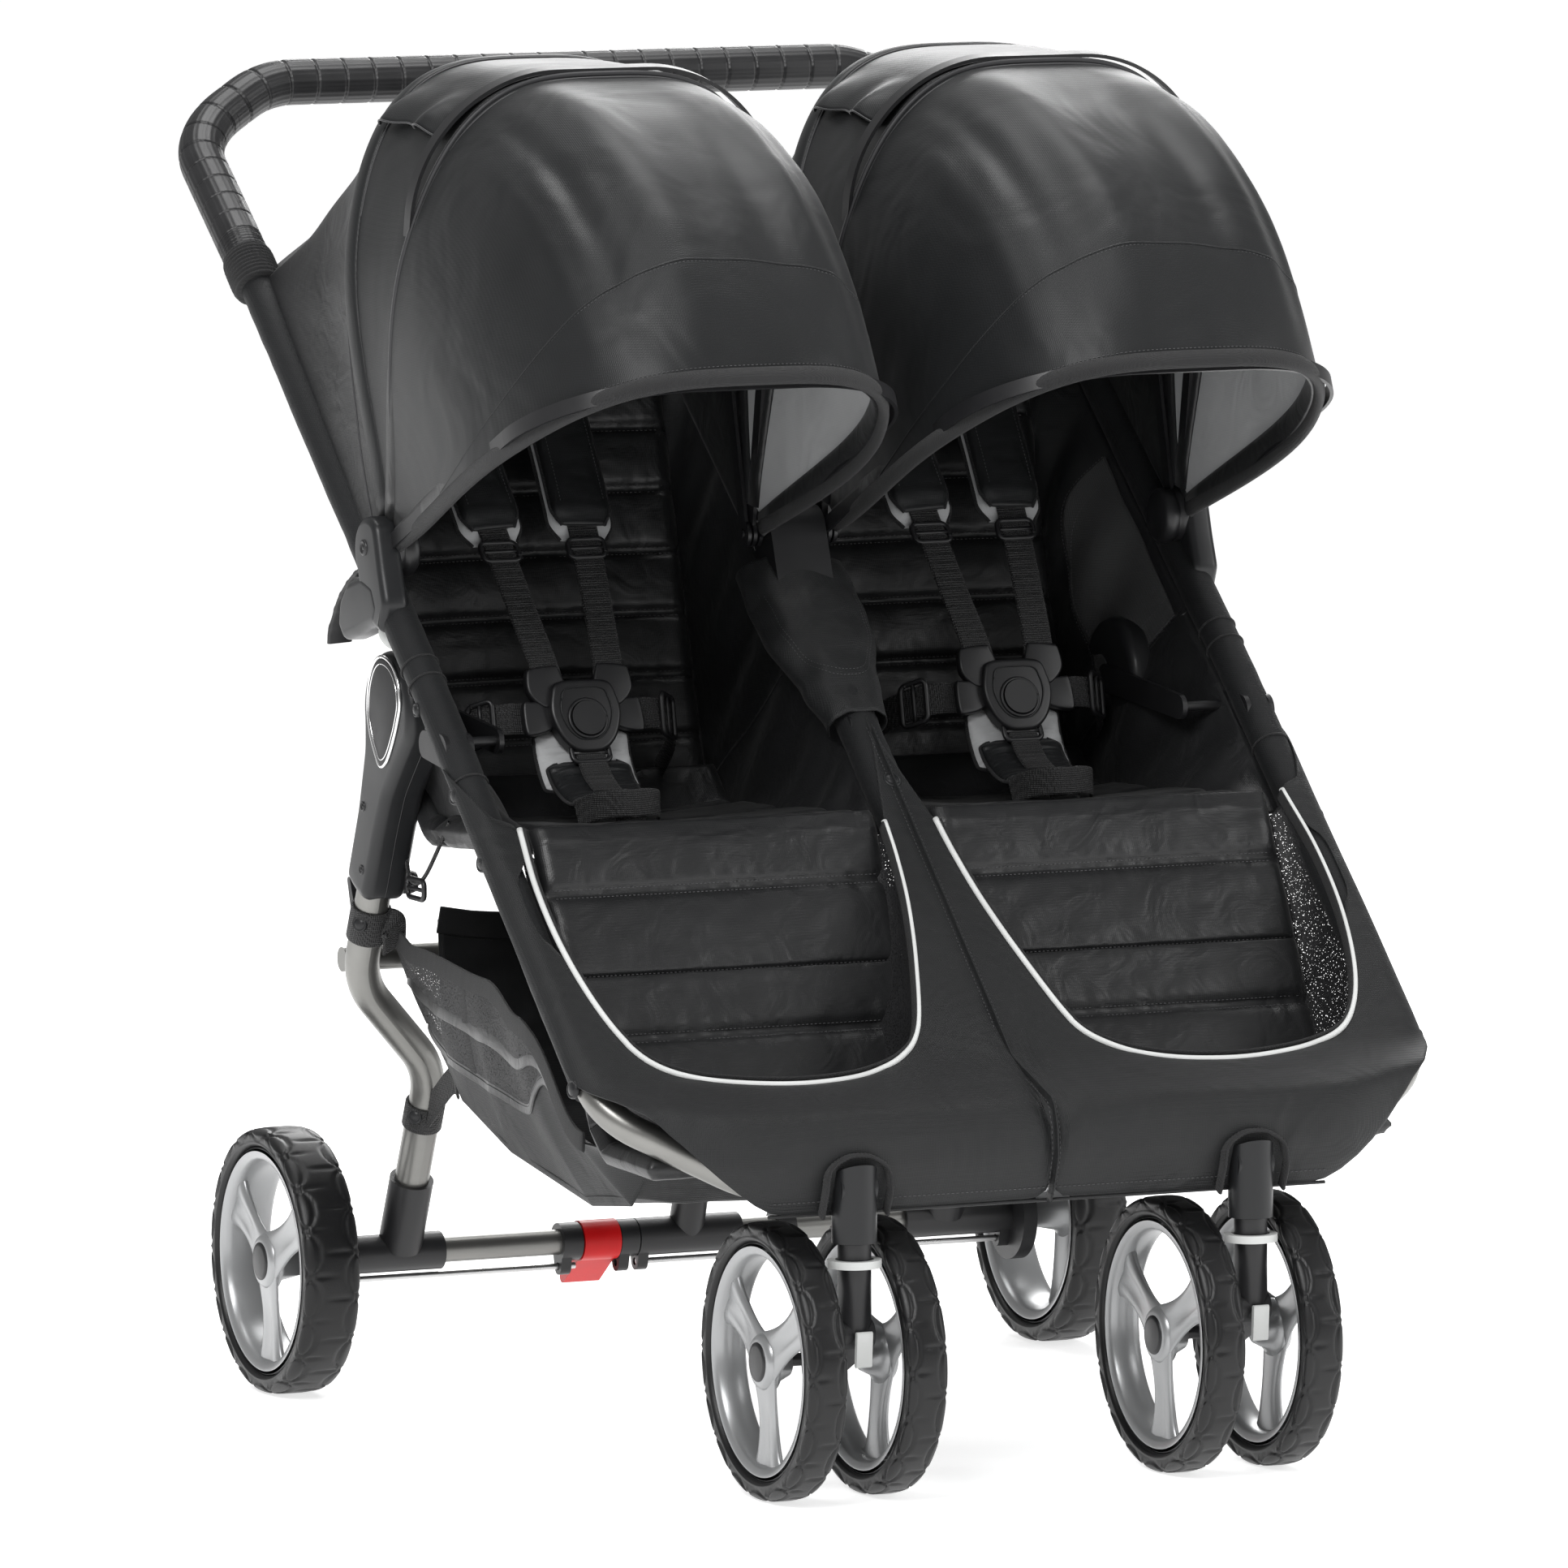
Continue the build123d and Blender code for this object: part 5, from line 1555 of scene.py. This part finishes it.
for label, side in SIDES:
    tail = ((-36, 30), (-25, 62), (-22, 100), (-22, 158), (-19, 164), (0, 166), (19, 164), (22, 158),
            (23, 100),
            (30, 50))
    shell = even_outline(arc(*LEG_HINGE, 49, -12, 200, 40) + [leg_aligned(*p) for p in tail], 130)
    housing = plate(f"hinge_housing_{label}", shell, 37, in_side_view(side, 315.5), COVER_PLASTIC,
                    "rear_frame",
                    0.0085, 7)
    if side < 0:
        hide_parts("hinge_covers")
    # The housing's parting line and the raised lip that the badge sits in.
    seam = [in_side_view(side, 315.5)(a, b, 0.0) for a, b in shell]
    cord_tube(f"housing_seam_{label}", seam + seam[:2], 0.0005, PLASTIC, "rear_frame", 6, hint=(1, 0, 0))
    teardrop = smooth_outline([(4, 43), (19, 36), (29, 20), (32, 0), (27, -18), (17, -33), (8, -42),
                               (-4, -38),
                               (-16, -24), (-27, -6), (-33, 10), (-29, 27), (-16, 39)], 80)
    set_badge = in_side_view(side, 334.5)
    badge = [(LEG_HINGE[0] + a, LEG_HINGE[1] + b) for a, b in teardrop]
    plate(f"badge_{label}", badge, 3.0, set_badge, BADGE, "rear_frame", 0.001)
    for k, (share, reach, radius) in enumerate(((1.03, 0.4, 0.0015), (0.90, 1.3, 0.0006))):
        trim = [set_badge(LEG_HINGE[0] + a * share, LEG_HINGE[1] + b * share, reach) for a, b in teardrop]
        cord_tube(f"badge_trim_{label}_{k}", trim + trim[:2], radius, CHROME, "rear_frame", 10,
                  hint=(1, 0, 0))
    for k, (across, down) in enumerate(((10, 92), (-8, 140))):
        y, z = leg_aligned(across, down)
        head = [(0.1, 0.4), (1.4, 0.3), (1.5, -0.6), (3.2, 0.8), (3.9, 0.5), (4.2, -1.0)]
        lathe(f"cover_screw_{label}_{k}", [(r, side * a) for r, a in head], at(side * 334.2, y, z), PLASTIC,
              "rear_frame",
              steps=32)
    # Outer canopy hinge: a rounded housing with a ribbed drum and a screw.
    knuckle = even_outline(arc(*CANOPY, 27, -40, 130, 16) + [(22, 690), (12, 664), (22, 640), (44, 646),
                                                             (66, 668)], 80)
    outer_hinge = plate(f"canopy_housing_{label}", knuckle, 22, in_side_view(side, 352.5), COVER_PLASTIC,
                        "handle_frame",
                        0.006, 6)
    if side < 0:
        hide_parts("canopy_hinges_outer")
    drum = [(0.1, 12), (20, 12), (22, 10.5), (22, 3), (20.5, 2), (20.5, 0), (22, -1), (22, -7), (20.5, -8),
            (20.5, -10),
            (22, -11), (22, -19), (18, -22), (0.1, -22)]
    lathe(f"canopy_drum_{label}", [(r, side * a) for r, a in drum], at(side * 346, *CANOPY), PLASTIC,
          "handle_frame",
          steps=56)
    head = [(0.1, 0.4), (2.0, 0.3), (2.4, -0.8), (4.2, 0.8), (5.2, 1.0), (6.4, 0.4), (6.6, -1.5)]
    lathe(f"canopy_screw_{label}", [(r, side * a) for r, a in head], at(side * 364.0, 54, 706), PLASTIC,
          "handle_frame",
          steps=40)
    # Accessory mount behind it, with two pale diamond plates facing forward.
    mount = even_outline([(26, 660), (36, 678), (60, 684), (92, 676), (108, 660), (112, 640), (100, 628),
                          (76, 634),
                          (50, 642), (32, 646)], 80)
    cover = plate(f"accessory_mount_{label}", mount, 24, in_side_view(side, 352), COVER_PLASTIC,
                  "handle_frame", 0.007, 6)
    if side < 0:
        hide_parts("accessory_brackets")
    for k, (y, z, x) in enumerate(((28, 668, 356), (32, 642, 352))):
        face = facing(at(side * x, y, z), (side * 0.72, -0.66, 0.2), (0, 0.3, 1))
        diamond = smooth_outline([(0, 15), (8.5, 2), (1, -15), (-8.5, -2)], 40)
        plate(f"mount_plate_{label}_{k}", diamond, 3.0, face, LIGHT_PLASTIC, "handle_frame", 0.0009)
    # The slotted rubber strap that hangs behind it.
    tail_path = curve_through([at(side * 344, 62, 694), at(side * 346, 96, 682), at(side * 347, 126, 662),
                               at(side * 347, 144, 640), at(side * 346, 150, 622)], 50)
    sweep(f"rubber_strap_{label}", tail_path, flat_section(0.017, 0.0036), RUBBER, "handle_frame",
          hint=(1, 0, 0),
          scale=lambda t: (1.0 + 0.25 * smooth((t - 0.8) / 0.15), 1.0 + 0.5 * (math.sin(t * 44) > 0.75)))


# ---------------------------------------------------------------- centre cloth between the seats
def centre_panel(u, v):
    """A stitched cover over the middle tube: u up the tube, v around it."""
    along = mix(-22, 152, u)
    y, z = upper(along) if along > 0 else front(-along)
    wide = lookup(((0.0, 24), (0.25, 32), (0.55, 45), (0.8, 47), (1.0, 44)), u)[0]
    deep = lookup(((0.0, 17.6), (0.3, 18), (0.6, 21), (1.0, 20)), u)[0]
    a = math.radians(mix(-125, 125, v))
    across, out = wide * math.copysign(abs(math.sin(a)) ** 0.85, math.sin(a)), deep * math.cos(a)
    ny, nz = math.cos(math.radians(UPPER_SLOPE + 90)), math.sin(math.radians(UPPER_SLOPE + 90))
    p = at(across, y + ny * out, z + nz * out)
    creases = 0.0035 * noise.noise(Vector((u * 5, v * 7, 3.0)))
    creases += 0.001 * math.sin(u * 30) * bump_at(v, 0.5, 0.5)
    return p + Vector((0, ny, nz)) * creases


middle = cloth_grid("centre_panel", centre_panel, 50, 60, BOOT, "handle_frame", thick=0.0014)
for row, inset in enumerate((0.10, 0.13)):
    outline = []
    for i in range(90):
        t = i / 89
        v = inset + 0.16 + (0.68 - 2 * inset) * (0.5 - 0.5 * math.cos(math.pi * t))
        u = 0.10 + inset + (0.78 - inset * 2) * (1 - abs(2 * t - 1) ** 3.0)
        outline.append(centre_panel(1 - u, v) + Vector((0, -0.0011, 0.0013)))
    stitches(f"centre_panel_stitch_{row}", outline, "handle_frame", 3.2, 2.2, 0.3)
y, z = front(96, 36.5)
snap("centre_snap", 0, y, z, (0, -0.66, 0.75), "front_frame")

# The elastic cord behind the left hinge: from the seat cloth down through a ring and back.
cord_route = [at(-296, 44, 486), at(-300, 62, 460), at(-303, 80, 438), at(-304, 98, 430), at(-303, 116, 438),
              at(-301, 124, 462), at(-297, 124, 484)]
cord_curve = bpy.data.curves.new("elastic_cord", "CURVE")
cord_curve.dimensions = "3D"
cord_curve.bevel_depth = 0.0017
cord_curve.bevel_resolution = 4
cord_curve.materials.append(WEBBING)
spline = cord_curve.splines.new("NURBS")
spline.points.add(len(cord_route) - 1)
for point, place in zip(spline.points, cord_route):
    point.co = (*place, 1)
spline.order_u = 3
spline.use_endpoint_u = True
elastic = bpy.data.objects.new("elastic_cord", cord_curve)
bpy.context.collection.objects.link(elastic)
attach(elastic, "front_frame")
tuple(cord_route[0])
tri_glide("elastic_ring", at(-304, 96, 428), (0, 1, 0), (0, 0, 1), "front_frame", 34, 15)


# ---------------------------------------------------------------- camera, floor and light
TARGET = at(-24.3, 5.0, 507.2)
AZIMUTH, ELEVATION, ROLL = (math.radians(v) for v in (-23.6886, 6.0883, -0.2906))
DISTANCE = 11.5716
back = Vector((math.sin(AZIMUTH) * math.cos(ELEVATION), -math.cos(AZIMUTH) * math.cos(ELEVATION),
               math.sin(ELEVATION)))
flat_right = Vector((0, 0, 1)).cross(back).normalized()
flat_up = back.cross(flat_right)
right = flat_right * math.cos(ROLL) + flat_up * math.sin(ROLL)
up = flat_up * math.cos(ROLL) - flat_right * math.sin(ROLL)
camera_data = bpy.data.cameras.new("camera")
camera_data.sensor_width = 36
camera_data.lens = 333.85155
camera_data.clip_end = 400
camera = bpy.data.objects.new("camera", camera_data)
bpy.context.collection.objects.link(camera)
place = TARGET + back * DISTANCE
rows = [(right[i], up[i], back[i], place[i]) for i in range(3)]
camera.matrix_world = Matrix([*rows, (0, 0, 0, 1)])
bpy.context.scene.camera = camera

floor_material, nodes, links, shader = node_tree("floor")
shader.inputs["Base Color"].default_value = (0.9, 0.9, 0.9, 1)
shader.inputs["Roughness"].default_value = 0.9
shader.inputs["Specular IOR Level"].default_value = 0.1
shader.inputs["Emission Color"].default_value = (1, 1, 1, 1)
shader.inputs["Emission Strength"].default_value = 0.72
floor_mesh = bpy.data.meshes.new("floor")
floor_mesh.from_pydata([(-120, -120, 0), (120, -120, 0), (120, 120, 0), (-120, 120, 0)], [], [(0, 1, 2, 3)])
floor_mesh.materials.append(floor_material)
floor = bpy.data.objects.new("floor", floor_mesh)
bpy.context.collection.objects.link(floor)

world = bpy.data.worlds.new("studio")
bpy.context.scene.world = world
world.use_nodes = True
world.node_tree.nodes["Background"].inputs["Color"].default_value = (1, 1, 1, 1)
world.node_tree.nodes["Background"].inputs["Strength"].default_value = 0.34
bpy.context.scene.view_settings.view_transform = "Standard"


def area(name, place, aim, size, power):
    light = bpy.data.lights.new(name, "AREA")
    light.shape = "RECTANGLE"
    light.size, light.size_y = size
    light.energy = power
    obj = bpy.data.objects.new(name, light)
    obj.location = place
    obj.rotation_euler = (Vector(aim) - Vector(place)).to_track_quat("-Z", "Y").to_euler()
    bpy.context.collection.objects.link(obj)


area("key", (-2.6, -2.8, 3.4), (0, 0, 0.6), (2.2, 1.6), 130)
area("fill", (3.2, -2.6, 1.8), (0, 0, 0.5), (1.8, 2.4), 50)
area("top", (0.2, 0.6, 4.0), (0, 0, 0.6), (2.4, 2.4), 90)
area("rim_light", (1.8, 3.2, 2.4), (0, 0, 0.6), (2.0, 1.5), 60)
